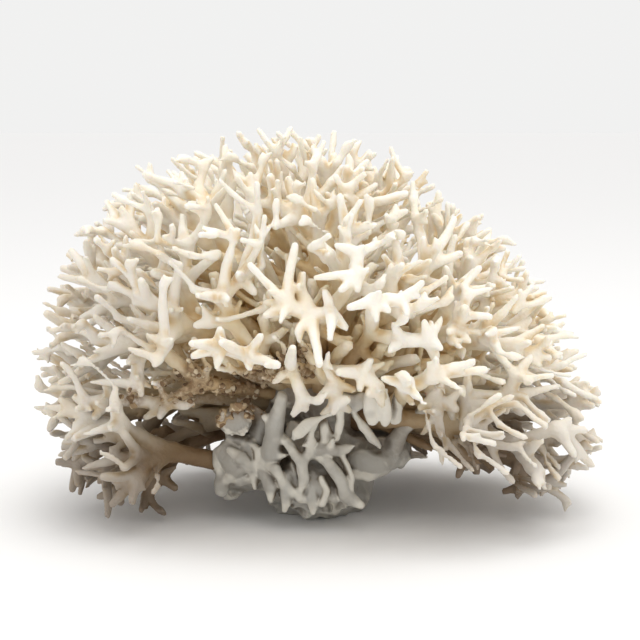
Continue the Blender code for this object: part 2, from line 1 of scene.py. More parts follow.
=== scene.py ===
"""The looks of a bleached branching coral: rounded twigs, a lumpy foot, sediment crumbs, floor and light.

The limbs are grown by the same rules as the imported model's, then each bough is skinned with one
smooth surface, drawn round all its limbs at once so that the forks are filleted as in the real thing.
Lengths are in millimetres until a mesh is made.
"""

import itertools
import json
import math
import random

import bpy
import numpy as np
from mathutils import Matrix, Quaternion, Vector
from mathutils.bvhtree import BVHTree

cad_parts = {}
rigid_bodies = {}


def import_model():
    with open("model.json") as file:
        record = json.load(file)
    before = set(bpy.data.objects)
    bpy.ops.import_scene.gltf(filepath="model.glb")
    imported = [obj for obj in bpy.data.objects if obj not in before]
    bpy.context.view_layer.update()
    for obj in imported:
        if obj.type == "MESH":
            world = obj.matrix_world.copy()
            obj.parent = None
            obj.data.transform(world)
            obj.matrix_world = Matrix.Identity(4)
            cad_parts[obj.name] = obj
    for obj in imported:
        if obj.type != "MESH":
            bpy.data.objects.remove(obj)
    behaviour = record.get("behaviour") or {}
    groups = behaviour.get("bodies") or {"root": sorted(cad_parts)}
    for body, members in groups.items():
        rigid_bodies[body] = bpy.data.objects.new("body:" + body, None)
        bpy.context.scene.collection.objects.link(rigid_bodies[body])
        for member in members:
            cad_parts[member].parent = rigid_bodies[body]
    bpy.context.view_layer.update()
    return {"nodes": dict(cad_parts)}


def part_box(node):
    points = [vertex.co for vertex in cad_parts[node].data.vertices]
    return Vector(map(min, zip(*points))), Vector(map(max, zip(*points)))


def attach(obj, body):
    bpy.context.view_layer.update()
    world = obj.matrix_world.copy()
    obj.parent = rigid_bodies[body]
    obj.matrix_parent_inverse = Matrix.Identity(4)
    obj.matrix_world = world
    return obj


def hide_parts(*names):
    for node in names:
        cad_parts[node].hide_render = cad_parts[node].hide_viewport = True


for thing in list(bpy.data.objects):
    bpy.data.objects.remove(thing)
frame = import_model()

MM = 0.001
SEED = 11

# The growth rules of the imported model, with the same numbers and order of random draws.
CENTRE = Vector((0.0, 0.0, 43.0))
ROOT_GAP = 0.3
MEAN_REACH = 100.0
FRONT_REACH = 86.0
BACK_REACH = 96.0
OUTLINE = (
    (-45, 86), (-30, 104), (-10, 109), (0, 107), (15, 101), (30, 97), (45, 93), (60, 94), (75, 99),
    (90, 102), (105, 102), (120, 105), (135, 109), (150, 113), (165, 112), (180, 107), (195, 101),
    (210, 95), (225, 86),
)
LOWEST_ELEVATION = -27.0
BARE_FRONT_ELEVATION = 13.0
BARE_FRONT_HALF_ANGLE = 52.0
BOUGH_COUNT = 66
BOUGH_WOBBLE = 0.05
BOUGH_PARTING = 18.0
FEWEST_TWIGS = 3
TWIG_SPACING = 12.2
TARGET_WOBBLE = 0.45
BACK_FROM = 0.35  # how much a direction points back where twigs get fewer
THINNER_BACK = 0.25
TIP_RADIUS = 1.05
TWIG_RADIUS = 1.85
TWIG_UNEVENNESS = (0.85, 1.25)
TWIG_DEPTHS = (0.88, 1.03)
THICKENING = 0.22
SHORTEST_LIMB = 7.0
SHORTEST_STEM = 0.6  # of SHORTEST_LIMB, where a bough leaves the holdfast
FORK_BACK = (1.0, 1.5)  # how far before its targets a limb forks, over their spread
FORK_GAP = 2.0
FORK_WOBBLE = 1.4
FORK_ROOM = (2.0, 2.0)  # how near a fork limbs may touch: in radii, and millimetres more
KNOT_PLACES = (0.4, 0.6)
KNOT_WOBBLE = 1.6
LONGEST_LIMB = 44.0
MOST_BRANCHES = 5
SPUR_LENGTHS = (5.0, 11.0)
SPURS_PER_FORK = 2
SPURLESS_REACH = 48.0
SPUR_PARTING = 50.0
SPUR_TURN = 137.0
SPUR_LEANS = (0.1, 0.7)
SPUR_TRIES = 7
FILL_DISTANCE = 9.0
FILL_REACH = 30.0
FILL_PARTING = 34.0
FILL_LEAN = 74.0
LOWEST_TIP = 4.0
CLEARANCE = 0.5
STEM_CLEARANCE = 0.1
FLOOR_CLEARANCE = 0.5
SHORTENINGS = (1.0, 0.8, 0.62)
CORNER = 1.18
RAY_START = 80.0  # from the centre, outside the holdfast
CROWN_ELEVATION = 52.0
SKIRT_ELEVATION = 5.0
BACK_SHARE = 0.55
ASIDE_STEP = 2.5
ASIDE = (
    (0, 0, 0), (1, 0, 0), (-1, 0, 0), (0, 1, 0), (0, -1, 0), (0, 0, 1), (0, 0, -1), (1, 1, 1),
    (-1, -1, 1), (1, -1, -1), (-1, 1, -1), (2, 0, 0), (-2, 0, 0), (0, 2, 0), (0, -2, 0), (0, 0, 2),
)

# The photograph's camera.
PHOTO_MIDDLE = 320.0
PHOTO_SIDE = 640.0
PIXELS_PER_MM = 2.59
CAMERA_DISTANCE = 700.0
CAMERA_HEIGHT_ANGLE = 8.0
CAMERA_TARGET = Vector((0.0, 0.0, 75.0))
SENSOR = 36.0


def camera_axes(kind):
    """The camera's forward and upward directions, each made by kind: Vector or np.array."""
    angle = math.radians(CAMERA_HEIGHT_ANGLE)
    return kind((0, math.cos(angle), -math.sin(angle))), kind((0, math.sin(angle), math.cos(angle)))


def seen_at(pixel_x, pixel_y, depth):
    """The point that lies depth millimetres behind the colony's middle and shows at that pixel."""
    forward, upward = camera_axes(Vector)
    eye = CAMERA_TARGET - forward * CAMERA_DISTANCE
    focal = PIXELS_PER_MM * CAMERA_DISTANCE
    ray = forward + Vector((1, 0, 0)) * ((pixel_x - PHOTO_MIDDLE) / focal)
    ray += upward * ((PHOTO_MIDDLE - pixel_y) / focal)
    return eye + ray * ((depth - eye.y) / ray.y)


# Boughs placed one by one: the pixel and depth of a fork, bend or tip, then what grows from it.
FRONT_BOUGHS = {
    "front_right": (370, 335, -42,
        (373, 301, -72,
            (346, 308, -77), (377, 323, -77), (391, 312, -76), (381, 290, -77),
            (402, 300, -70, (425, 281, -70))),
        (400, 340, -58,
            (388, 352, -66), (393, 322, -64),
            (428, 340, -60, (430, 368, -60, (457, 381, -64)), (424, 320, -64), (443, 350, -64)))),
    "front_middle": (325, 320, -38,
        (356, 276, -62,
            (312, 278, -67), (339, 292, -68), (358, 293, -66), (370, 268, -66),
            (357, 254, -60, (334, 244, -63), (365, 244, -62))),
        (312, 316, -58,
            (295, 334, -66), (288, 306, -60, (262, 317, -63), (276, 293, -63), (263, 302, -57)),
            (330, 312, -60, (324, 288, -65), (348, 330, -62)), (300, 291, -56, (303, 270, -57)))),
    "front_left": (262, 362, -38,
        (221, 346, -60,
            (220, 327, -68), (190, 357, -64), (216, 370, -66),
            (246, 354, -59, (250, 370, -64), (274, 365, -60))),
        (232, 322, -46,
            (211, 322, -50, (193, 326, -52)),
            (222, 299, -49, (190, 288, -52), (240, 279, -46, (265, 264, -47), (257, 295, -50))))),
    "far_left": (205, 383, -30,
        (158, 347, -40,
            (149, 327, -44, (112, 317, -48), (132, 333, -50)),
            (140, 356, -42,
                (98, 328, -46), (127, 363, -53), (137, 378, -46, (128, 395, -50), (142, 397, -52)))),
        (168, 402, -36,
            (143, 419, -41), (159, 418, -46), (190, 407, -44),
            (113, 399, -38,
                (88, 404, -39, (70, 413, -39), (73, 396, -36)), (92, 419, -42), (104, 383, -42)))),
    "centre_low": (318, 372, -36,
        (292, 368, -50, (303, 398, -54, (292, 417, -58), (307, 413, -55)), (272, 384, -54)),
        (334, 384, -50, (337, 402, -55, (332, 416, -58), (350, 399, -58)), (318, 398, -57)),
        (362, 372, -54,
            (336, 372, -62), (372, 358, -60), (378, 388, -56, (383, 408, -58), (366, 396, -58)))),
    "lower_right": (425, 385, -28,
        (435, 397, -46,
            (437, 413, -52, (443, 440, -54)), (447, 403, -50, (459, 411, -54)), (417, 410, -50)),
        (466, 396, -42,
            (462, 433, -50), (479, 424, -50, (491, 446, -52), (474, 448, -54)), (467, 372, -50),
            (505, 397, -40,
                (516, 376, -43, (533, 354, -44), (541, 377, -44)), (506, 415, -46),
                (527, 414, -41, (546, 426, -42), (528, 441, -42))))),
    "skirt_left": (186, 444, 6,
        (150, 448, -16,
            (106, 447, -14, (80, 463, -12, (54, 462, -14), (78, 487, -20)), (62, 443, -14)),
            (108, 468, -20, (98, 484, -22))),
        (162, 475, -12,
            (118, 490, -14, (96, 498, -16), (121, 505, -19)), (147, 496, -14, (145, 511, -15)),
            (177, 490, -18))),
    "skirt_right": (446, 440, 3,
        (468, 446, -20, (457, 479, -25), (479, 475, -26), (486, 452, -26)),
        (519, 462, -12,
            (544, 483, -12, (568, 485, -14), (541, 497, -18)), (521, 486, -16, (516, 500, -17)),
            (560, 462, -10, (591, 469, -12), (585, 452, -14)))),
}

# The holdfast's lumps: middle and half sizes, then the tilt in degrees about Y.
LUMPS = {
    "crown": ((0, 0, 43), (22, 22, 22), 0),
    "body": ((-1, 5, 20), (23, 30, 28), 0),
    "left_lobe": ((-29, -14, 20.5), (13, 13, 12.5), 12),
    "middle_lobe": ((-3, -21, 18), (17, 14, 14), 0),
    "right_lobe": ((20, -13, 24), (16, 13, 8), -22),
    "back_lobe": ((6, 25, 22), (20, 12, 13), 10),
}
# The holdfast's straps, flaps and feet. Each is a line of points: pixel, depth and radius.
FOOT_LINES = {
    "upright_finger": (
        (272, 460, -30, 3.9), (273, 440, -32, 3.6), (277, 418, -35, 3.1), (282, 397, -37, 2.2)),
    "finger_thorn": ((274, 456, -32, 3.0), (286, 455, -35, 1.0)),
    "finger_spike": ((273, 420, -33, 1.8), (264, 417, -35, 0.9)),
    "finger_root": ((266, 470, -28, 3.0), (270, 452, -30, 3.0)),
    "strap": (
        (283, 438, -33, 1.5), (292, 449, -35, 2.0), (301, 461, -37, 2.2), (304, 478, -37, 2.0),
        (299, 497, -36, 1.4)),
    "ribbon_up": (
        (302, 462, -36, 2.0), (309, 452, -36, 2.1), (311, 441, -37, 1.8), (310, 430, -38, 1.6),
        (317, 420, -40, 1.6), (330, 413, -42, 1.2)),
    "ribbon_right": ((340, 404, -42, 1.7), (340, 420, -40, 1.6), (337, 438, -37, 1.3)),
    "arch": (
        (309, 453, -34, 2.2), (322, 449, -36, 2.6), (336, 450, -36, 2.6), (346, 448, -35, 2.0),
        (353, 446, -35, 0.9)),
    "arch_strap": (
        (316, 456, -35, 1.4), (327, 461, -37, 2.1), (335, 472, -38, 2.5), (342, 485, -38, 2.3),
        (346, 498, -37, 2.0)),
    "arch_edge": (
        (341, 455, -35, 1.2), (347, 466, -36, 1.4), (352, 478, -36, 1.0), (350, 490, -36, 1.3),
        (349, 498, -36, 1.5)),
    "toe": ((345, 494, -36, 2.2), (354, 501, -37, 2.2), (361, 505, -38, 1.7)),
    "right_neck": (
        (392, 446, -22, 3.8), (401, 432, -25, 3.0), (412, 421, -27, 2.5), (426, 409, -29, 2.0)),
    "right_edge": (
        (352, 474, -28, 1.5), (368, 477, -27, 1.7), (381, 473, -25, 1.6), (394, 464, -23, 1.6),
        (404, 452, -20, 1.6)),
    "needle": ((352, 410, -37, 0.9), (361, 424, -36, 1.5), (371, 437, -33, 1.6), (380, 447, -29, 1.1)),
    "left_knob": ((233, 434, -23, 3.0), (242, 440, -24, 3.0)),
    "left_ridge": ((230, 450, -28, 1.6), (241, 457, -30, 2.4), (250, 466, -29, 1.6)),
    "left_fold": (
        (227, 480, -26, 1.6), (239, 470, -29, 1.6), (252, 466, -29, 1.8), (264, 463, -30, 2.0)),
    "left_foot": ((227, 472, -22, 3.6), (223, 484, -24, 3.3), (222, 490, -24, 2.4)),
    "left_flange": (
        (232, 477, -25, 2.0), (241, 482, -26, 2.3), (252, 479, -27, 1.8), (262, 475, -28, 1.8)),
    "drip": ((254, 468, -28, 2.4), (255, 480, -29, 1.8), (255, 489, -29, 0.9)),
    "lower_leaf": (
        (264, 463, -31, 2.2), (275, 469, -34, 2.5), (281, 478, -35, 1.8), (281, 485, -35, 1.0)),
    "foot_inner": ((266, 472, -30, 3.4), (271, 487, -33, 3.0), (271, 499, -34, 1.5)),
    "foot_middle": ((288, 478, -32, 3.4), (287, 495, -35, 2.6), (284, 510, -35, 1.2)),
    "foot_front": ((312, 478, -32, 3.8), (312, 497, -36, 2.8), (313, 512, -36, 1.2)),
    "foot_right": ((330, 480, -32, 3.6), (334, 497, -35, 2.4)),
    "base_fold": (
        (276, 470, -32, 1.6), (284, 484, -35, 1.8), (294, 492, -36, 1.8), (304, 500, -36, 1.4)),
    "base_edge": ((322, 478, -37, 1.2), (327, 490, -38, 1.4), (322, 503, -37, 1.3)),
    "left_rim": (
        (262, 478, -28, 1.3), (259, 462, -30, 1.5), (258, 450, -29, 1.3), (250, 442, -27, 1.0)),
    "left_outer": (
        (222, 478, -24, 1.5), (218, 465, -24, 1.8), (218, 452, -23, 1.8), (226, 444, -24, 1.6),
        (236, 440, -25, 1.6)),
    "knot_thorn": ((312, 441, -37, 1.6), (304, 445, -38, 0.9)),
    "arch_thorn": ((330, 448, -37, 1.6), (333, 440, -39, 0.8)),
}
# Thin pieces that face the front, on the same terms.
FOOT_FLAPS = {
    "brown_leaf": ((324, 424, -37, 2.2), (327, 435, -36, 2.9), (326, 442, -36, 2.2)),
    "white_blade": (
        (319, 418, -41, 1.4), (307, 425, -41, 2.2), (298, 433, -41, 2.4), (294, 438, -40, 1.4)),
    "disc": ((233, 422, -28, 5.2), (239, 421, -28, 5.2)),
    "disc_stalk": ((240, 432, -14, 4.0), (237, 423, -24, 4.0)),
    "left_plate": ((240, 400, -20, 1.5), (262, 425, -22, 5.0), (262, 445, -24, 5.0)),
    "hanging_left": (
        (370, 386, -51, 1.4), (369, 400, -49, 2.2), (371, 412, -47, 2.9), (372, 421, -46, 2.2)),
    "hanging_right": (
        (386, 390, -50, 1.3), (385, 404, -48, 2.0), (386, 416, -47, 2.5), (385, 423, -46, 1.6)),
    "hanging_far": ((396, 392, -46, 1.2), (397, 408, -42, 2.3), (396, 420, -40, 2.4)),
    "left_leaf": ((229, 453, -25, 4.8), (238, 465, -27, 5.2)),
    "left_fan": ((250, 446, -26, 3.2), (248, 458, -27, 4.0)),
    "right_plate": ((360, 462, -26, 5.0), (373, 463, -25, 5.4), (388, 457, -22, 5.2)),
    "base_plate": ((298, 490, -33, 5.4), (322, 489, -34, 5.6)),
    "shelf": ((344, 398, -40, 2.2), (352, 404, -38, 3.4), (362, 400, -40, 2.6)),
}
# Dark hollows in the holdfast: pixel and depth of the middle, then the half sizes in millimetres.
HOLLOWS = {
    "cave": ((319, 465, -37), (5.0, 7.0, 3.2)),
    "cleft": ((262, 477, -29), (2.2, 5.0, 2.6)),
    "back_cleft": ((386, 430, -22), (4.0, 6.0, 3.0)),
    "shadow": ((350, 433, -28), (6.0, 6.0, 3.4)),
    "toe_slit": ((339, 497, -37), (1.5, 4.0, 2.4)),
    "finger_side": ((292, 425, -34), (3.0, 6.0, 5.0)),
    "strap_side": ((283, 470, -37), (1.6, 4.0, 2.2)),
    "left_scallop": ((277, 510, -30), (2.4, 9.0, 3.0)),
    "middle_scallop": ((298, 513, -30), (3.2, 9.0, 2.6)),
    "right_scallop": ((325, 512, -32), (3.0, 9.0, 3.6)),
    "left_hole": ((249, 474, -31), (2.2, 3.0, 1.6)),
    "under_left": ((240, 497, -26), (8.0, 9.0, 3.4)),
    "under_right": ((372, 492, -26), (9.0, 9.0, 4.0)),
}
# Where brown sediment has settled among the stems: pixel of the middle, and radius in pixels.
SEDIMENT_SPOTS = (
    (168, 392, 14), (186, 386, 15), (204, 392, 18), (222, 400, 19), (240, 394, 20), (252, 380, 16),
    (266, 372, 15), (284, 362, 12), (214, 412, 14), (250, 404, 14), (300, 352, 9), (195, 372, 12),
    (306, 372, 8), (132, 398, 10),
)
SEDIMENT_DEPTHS = (-57.0, -8.0)
SEDIMENT_EDGE = 1.5  # of a spot's radius, where its sediment ends
SEDIMENT_FADE = 6.0  # the depth over which it sets in and ends
CRUMB_COUNT = 620
CRUMB_RADII = (0.45, 1.35)
CRUMB_LENGTH = 0.8  # the most that a crumb's ends lie apart on each axis
CRUMB_TAPERS = (0.6, 1.0)
CRUMB_VOXEL = 0.6
CRUMB_FILLET = 0.4
CRUMB_GRAIN = (1.3, 0.3)  # the size and depth of its lumps
CRUMB_MARGIN = 3.0  # round the crumbs, in their grid
CRUMBY_SHARE = 0.35  # the share of sediment above which crumbs may lie

TINY = 1e-6  # keeps a division by a length from failing
TINIEST = 1e-9  # the same for a squared length

# How the limbs are skinned.
VOXEL = 1.05  # between the points of the grid in which a surface is drawn
FAR_VOXEL = 1.35  # the same for the boughs that face away
FAR = 6.0  # what the grid holds where no limb is near
FILLET = 1.7  # how far two limbs' surfaces reach out to join at a fork
FRONT_FILLET = 1.0  # the same for the listed boughs
SWELLS = (9.0, 0.3)  # the size and depth of the surface's swells
FINE_LUMPS = (3.4, 0.27)  # the same of its small lumps
SLOPE_REACH = 0.6  # of a voxel, over which a field's slope is taken
FLATTEST = 0.25  # the least squared slope that a point is moved by
EVENING = 0.6  # how far a point moves to its neighbours' middle in a round
LIMB_SCALE = 1.06  # of a limb's radius, over the model's
FRONT_THICKEST = 2.55  # the most that a limb of a listed bough measures in radius
TWIG_BASE = 2.5  # the most that a twig measures in radius where it leaves its fork
TWIG_TIP = 1.2
TWIG_TIP_SPREAD = (0.9, 1.12)
TAPER = 1.35  # above 1, a limb keeps its thickness and narrows near its tip
SPUR_BASE = 1.9
SPUR_TIP = 1.0
SPUR_TIP_SPREAD = (0.85, 1.2)
SPUR_LIFT = 0.9  # how far a spur of the dome turns outwards
SPUR_STRETCH = 1.35
BEND_STEP = 5.0  # the length of a straight stretch in a curved limb
FEWEST_STRETCHES = 2
MOST_STRETCHES = 7
FORK_FLOW = 0.32  # how much a limb keeps the heading of the one that it grows from
SHARPEST_FLOW = -0.2  # the cosine of the sharpest turn at which it does so
TIP_CURL = 0.22
NUB_CHANCE = 0.5
NUB_LENGTHS = (3.4, 6.0)
NUB_LEANS = (0.6, 1.5)
NUB_BASE = 1.5
NUB_TIP = 0.85
NUBLESS_LENGTH = 9.0  # the length up to which a modelled twig carries no nub
ROOT_SINK = 3.0  # how deep a stem runs into the holdfast
SAMPLE_STEP = 2.0  # between the sample points along a limb

# Fine twigs, which fill the colony between the modelled ones.
FINE_SPACING = 6.6  # between the spots where they end, on a sphere of MEAN_REACH
FINE_WOBBLE = 0.5
FINE_LAYERS = ((0.88, 1.02), (0.64, 0.84), (0.48, 0.66))  # of the dome's reach, outermost first
# The photograph's outline over the dome's: degrees round the front view, then the share.
TOP_SWELL = ((60, 80, 92, 105, 120, 135, 152), (1.0, 1.02, 1.02, 1.04, 1.065, 1.045, 1.0))
FINE_TRIES = 16
FINE_SKIP = 3  # it is tried from every third of the nearest sample points
FINE_LENGTHS = (7.0, 30.0)
FINE_LEAN = 44.0  # the most that one leans away from the outward direction, in degrees
FINE_BEND = 0.25  # how far aside it sets out from its limb
FINE_RISE = 0.9  # how far its tip turns outwards
FINE_GAP = 1.3  # between a fine twig and other limbs, on top of their radii
FINE_TIP_GAP = 4.1  # between the end of its middle line and any other limb's surface
FINE_CLEAR = 0.45  # of its length from its base, where it isn't tested for room
FINE_BASE = 2.5
FINE_TIP = 1.12
MOST_SAMPLES = 60000  # of all the fine twigs together
HERO_WINDOW = (90, 240, 480, 430)  # the pixels that the listed boughs fill
HERO_DEPTH = -63.0  # fine twigs stay behind this there
BROWN_WINDOW = (112, 388, 236, 492)  # the pixels of the dark hollow on the left
BROWN_DEPTH = -18.0
HOLDFAST_WINDOW = (196, 384, 432)  # the pixels left, above and right of the open view of the holdfast
# The colony's lower outline in the photograph: pixels across, then down.
LOWER_OUTLINE = (
    (40, 60, 100, 145, 200, 430, 465, 500, 530, 560, 600),
    (455, 476, 498, 510, 466, 448, 476, 470, 498, 488, 450),
)

# Stems that fill the inside of the colony.
CORE_COUNT = 300
CORE_WOBBLE = 0.08
CORE_SPAN = (0.46, 0.70)  # where they end, of the dome's reach
CORE_RADII = (3.3, 2.2)
CORE_START = 12.0
CORE_BEND = 0.3  # how far aside its end turns
CORE_STRETCHES = 5
CORE_DROP = 8.0  # how far below its end a stem still has to be within the view of the colony
CORE_VOXEL = 1.9

# How the holdfast is skinned.
FOOT_VOXEL = 0.8
FOOT_MARGIN = 4.0  # round all that the foot's grid has to hold
FOOT_FILLET = 1.0
FLAP_FILLET = 0.6
LUMP_FILLET = 4.0
HOLLOW_FILLET = 1.2  # of the rim of a hollow
FLAP_THINNESS = 1.9  # a flap's width over its depth from front to back
FOOT_FOLDS = ((13.0, 1.7), (7.0, 0.9))  # the size and depth of its sharp folds
FOOT_GRAINS = ((5.0, 0.5), (2.6, 0.32))  # the same of its smaller, round lumps
CUT_HEIGHT = 0.02  # of the flat cut, which then settles on the floor
# Crumbs round the edge of the disc: its middle pixel and depth, and its half sizes in pixels.
DISC_MIDDLE = (236, 421, -30)
DISC_HALF = (14.5, 14.0)
RIM_CRUMBS = 17
RIM_CRUMB_RADIUS = 1.0
RIM_CRUMB_SPREAD = 0.35
RIM_CRUMB_WAVES = 5
RIM_CRUMB_FILLET = 0.5

# Where shade and a highlight are painted on the coral.
DOME_HALF = (108.0, 90.0, 103.0)  # the half sizes of the dome that the colours follow
MOST_OUTWARDS = 1.2  # the most that the colours tell apart, where 1 lies on the dome
CREASE_REACH = 3.2  # how far off the surface a crease is felt, for the painted shade in it
RIM_REACH = 2.6  # how far under the surface a thin form is felt, for the painted highlight on it
CENTIMETRE = 10.0
PAINTED_SHADE_FADE = 30.0  # the length over which the painted shade sets in
PAINTED_SHADE_TOP = 60.0  # the height below which painted shade darkens the inside of the colony
PAINTED_SHADE_OUTSIDE = 1.08  # how far out that painted shade ends
PAINTED_SHADE_INNER_FADE = 0.3  # the share of the dome over which it sets in, inwards from there
LEFT_PAINTED_SHADE = -20.0  # left of here, painted shade darkens the outer twigs too, below the height that follows
LEFT_PAINTED_SHADE_TOP = 50.0
LEFT_PAINTED_SHADE_SHARE = 0.85
FAINT_SHADE_LEFT = -40.0  # left of here, twigs get a faint painted shade below the height that follows
FAINT_SHADE_TOP = 120.0
FAINT_SHADE_SHARE = 0.26

# Colours and textures.
TWIG_LOOK = {
    # colour by how far out and how open a point lies: whiter outside as the coral is bleached, browner
    # deep among the limbs, partly its tone and partly painted shade
    "stops": (
        (0.30, (0.34, 0.20, 0.10)), (0.55, (0.62, 0.43, 0.23)), (0.78, (0.80, 0.64, 0.40)),
        (0.98, (0.88, 0.79, 0.61)), (1.25, (0.92, 0.88, 0.80)),
    ),
    # no painted highlight on the twigs' thin forms
    "highlight_share": 0.0,
    "highlight_colour": (0.90, 0.88, 0.80),
    "stain_tint": (0.90, 0.80, 0.62),
    # the painted shade in creases and forks
    "crease_shade_tint": (0.86, 0.74, 0.54),
    # the painted shade low inside the colony and on its left
    "painted_shade_tint": (0.24, 0.19, 0.15),
    "roughness": 0.62,
    "subsurface": 0.25,
}
FOOT_LOOK = {
    # colour by the same values: darker deep among the limbs, partly the foot's tone and partly painted
    # shade
    "stops": (
        (0.30, (0.22, 0.16, 0.11)), (0.60, (0.42, 0.38, 0.33)), (0.95, (0.52, 0.50, 0.455)),
    ),
    # a painted highlight, light and warm, on the foot's thin straps and edges
    "highlight_share": 0.9,
    "highlight_colour": (0.84, 0.80, 0.71),
    "stain_tint": (0.58, 0.50, 0.42),
    # the painted shade in creases, forks and hollows
    "crease_shade_tint": (0.24, 0.19, 0.14),
    # the painted shade low inside the colony and on its left
    "painted_shade_tint": (0.74, 0.735, 0.72),
    "roughness": 0.45,
    "subsurface": 0.1,
}
RAMP_SPAN = 1.6  # what the end of a colour ramp stands for
OPENNESS_WEIGHT = 0.6  # how much the painted shade of sheltered places counts, over the weight of how far out a point lies
MOTTLE_WEIGHT = 0.22
MOTTLE = {"Scale": 110.0, "Detail": 4.0, "Roughness": 0.6}
STAIN = {"Scale": 45.0, "Detail": 3.0, "Roughness": 0.55}
DUST = {"Scale": 420.0, "Detail": 3.0, "Roughness": 0.7}
GRAIN = {"Scale": 1400.0, "Detail": 3.0, "Roughness": 0.6}
PORES = {"Scale": 620.0}
# The two values between which an effect sets in, and how strong it is at each.
STAIN_RANGE = ((0.45, 0.0), (0.75, 0.5))
DUST_RANGE = ((0.35, 0.25), (0.6, 1.0))
# The painted shade in creases and forks.
CREASE_SHADE_RANGE = ((0.15, 0.0), (0.9, 0.9))
HIGHLIGHT_PLACES = (0.12, 0.62)  # the two values between which the painted highlight on thin forms sets in; how strong it gets, each look says
DUST_COLOUR = (0.30, 0.19, 0.10)
SUBSURFACE_RADII = (1.0, 0.75, 0.45)
SUBSURFACE_SCALE = 0.0022
GRAIN_BUMP = {"Strength": 0.25, "Distance": 0.0004}
PORE_BUMP = {"Strength": 0.35, "Distance": 0.0005}
CRUMB_STOPS = (
    (0.0, (0.12, 0.07, 0.035)), (0.35, (0.28, 0.18, 0.10)), (0.7, (0.46, 0.34, 0.20)),
    (1.0, (0.70, 0.60, 0.44)),
)
CRUMB_CELLS = {"Scale": 520.0}
CRUMB_NOISE = {"Scale": 2200.0, "Detail": 3.0}
CRUMB_BUMP = {"Strength": 0.5, "Distance": 0.0004}
CRUMB_ROUGHNESS = 0.9

# The floor, sky and lamps, in metres and watts.
FLOOR_HALF = 4.0
FLOOR_TONE = 0.88
FLOOR_ROUGHNESS = 0.9
SKY_STOPS = ((0.0, (0.80, 0.80, 0.795)), (0.12, (0.80, 0.80, 0.795)), (0.9, (0.96, 0.95, 0.94)))
SKY_STRENGTH = 1.1
LAMP_SIZE = 0.6
LAMP_AIM = Vector((0, 0, 0.06))
LAMPS = {
    "key": ((0.1, -0.75, 1.0), 1.5, (1.0, 0.98, 0.95)),
    "top": ((0.1, -0.1, 1.1), 3.0, (1.0, 0.99, 0.97)),
}


class Joint:
    """A point of the skeleton, where a limb forks, bends or ends."""

    def __init__(self, point, radius=0.0, is_spur=False):
        self.point = Vector(point)
        self.radius = radius
        self.is_spur = is_spur
        self.children = []

    def twigs(self):
        """How many tips this joint carries, spurs left out."""
        if not self.children:
            return 1
        return max(1, sum(child.twigs() for child in self.children if not child.is_spur))


class Crowd:
    """Sample balls along every limb laid so far, in a grid of cells, to test a new limb for room."""

    CELL = 8.0
    STEP = 1.5

    def __init__(self, holdfast_tree):
        self.cells = {}
        self.holdfast_tree = holdfast_tree

    def balls(self, start, end):
        count = max(2, math.ceil((end.point - start.point).length / self.STEP) + 1)
        for number in range(count):
            share = number / (count - 1)
            radius = start.radius + (end.radius - start.radius) * share
            yield start.point.lerp(end.point, share), radius

    def cell(self, point):
        return tuple(math.floor(value / self.CELL) for value in point)

    def add(self, owner, start, end):
        for point, radius in self.balls(start, end):
            self.cells.setdefault(self.cell(point), []).append((point, radius, owner))

    def has_room(self, owner, start, end, beside_own=False):
        """Whether the limb clears the floor and the other boughs, and if beside_own is set, its own."""
        radii, margin = FORK_ROOM
        fork_reach = radii * start.radius + margin
        is_stem = self.holdfast_tree.find_nearest(start.point)[3] < 2 * ROOT_GAP
        clearance = STEM_CLEARANCE if is_stem else CLEARANCE
        for point, radius in self.balls(start, end):
            if point.z - CORNER * radius < FLOOR_CLEARANCE:
                return False
            near_fork = (point - start.point).length < fork_reach
            if not near_fork or not is_stem:
                surface = self.holdfast_tree.find_nearest(point)[3]
                if surface < CORNER * radius + clearance:
                    return False
            for other, other_radius, other_owner in self.neighbours(point):
                touching = CORNER * (radius + other_radius)
                if other_owner == owner:
                    at_fork = near_fork or (other - start.point).length < fork_reach
                    if beside_own and not at_fork and (other - point).length < touching:
                        return False
                elif (other - point).length < touching + clearance:
                    return False
        return True

    def neighbours(self, point):
        middle = self.cell(point)
        for step in itertools.product((-1, 0, 1), repeat=3):
            yield from self.cells.get(tuple(map(sum, zip(middle, step))), ())


def limb_radius(twigs):
    return TWIG_RADIUS * twigs**THICKENING


def reach(direction):
    """How far the dome lies from the centre of growth in that direction."""
    angle = math.degrees(math.atan2(direction.z, direction.x))
    angle = angle + 360 if angle < -90 else angle
    low = (OUTLINE[-1][0] - 360, OUTLINE[-1][1])
    high = (OUTLINE[0][0] + 360, OUTLINE[0][1])
    points = (low, *OUTLINE, high)
    for (a, near), (b, far) in zip(points, points[1:]):
        if a <= angle <= b:
            outline = near + (far - near) * (angle - a) / (b - a)
    depth = BACK_REACH if direction.y > 0 else FRONT_REACH
    share = direction.y**2
    return outline * (1 - share) + depth * share


def sphere_points(count, dice, wobble):
    """Directions spread evenly over a sphere on a golden spiral, each moved a little."""
    golden_angle = math.pi * (3 - math.sqrt(5))
    for number in range(count):
        z = 1 - (2 * number + 1) / count
        around = golden_angle * number
        across = math.sqrt(1 - z * z)
        point = Vector((math.cos(around) * across, math.sin(around) * across, z))
        moved = point + Vector([dice.uniform(-wobble, wobble) for _ in range(3)])
        yield moved.normalized()


def is_dome(direction):
    """Whether the dome covers that direction and no listed bough does."""
    elevation = math.degrees(math.asin(max(-1.0, min(1.0, direction.z))))
    from_front = math.degrees(math.atan2(direction.x, -direction.y))
    if elevation < LOWEST_ELEVATION:
        return False
    return elevation > BARE_FRONT_ELEVATION or abs(from_front) > BARE_FRONT_HALF_ANGLE


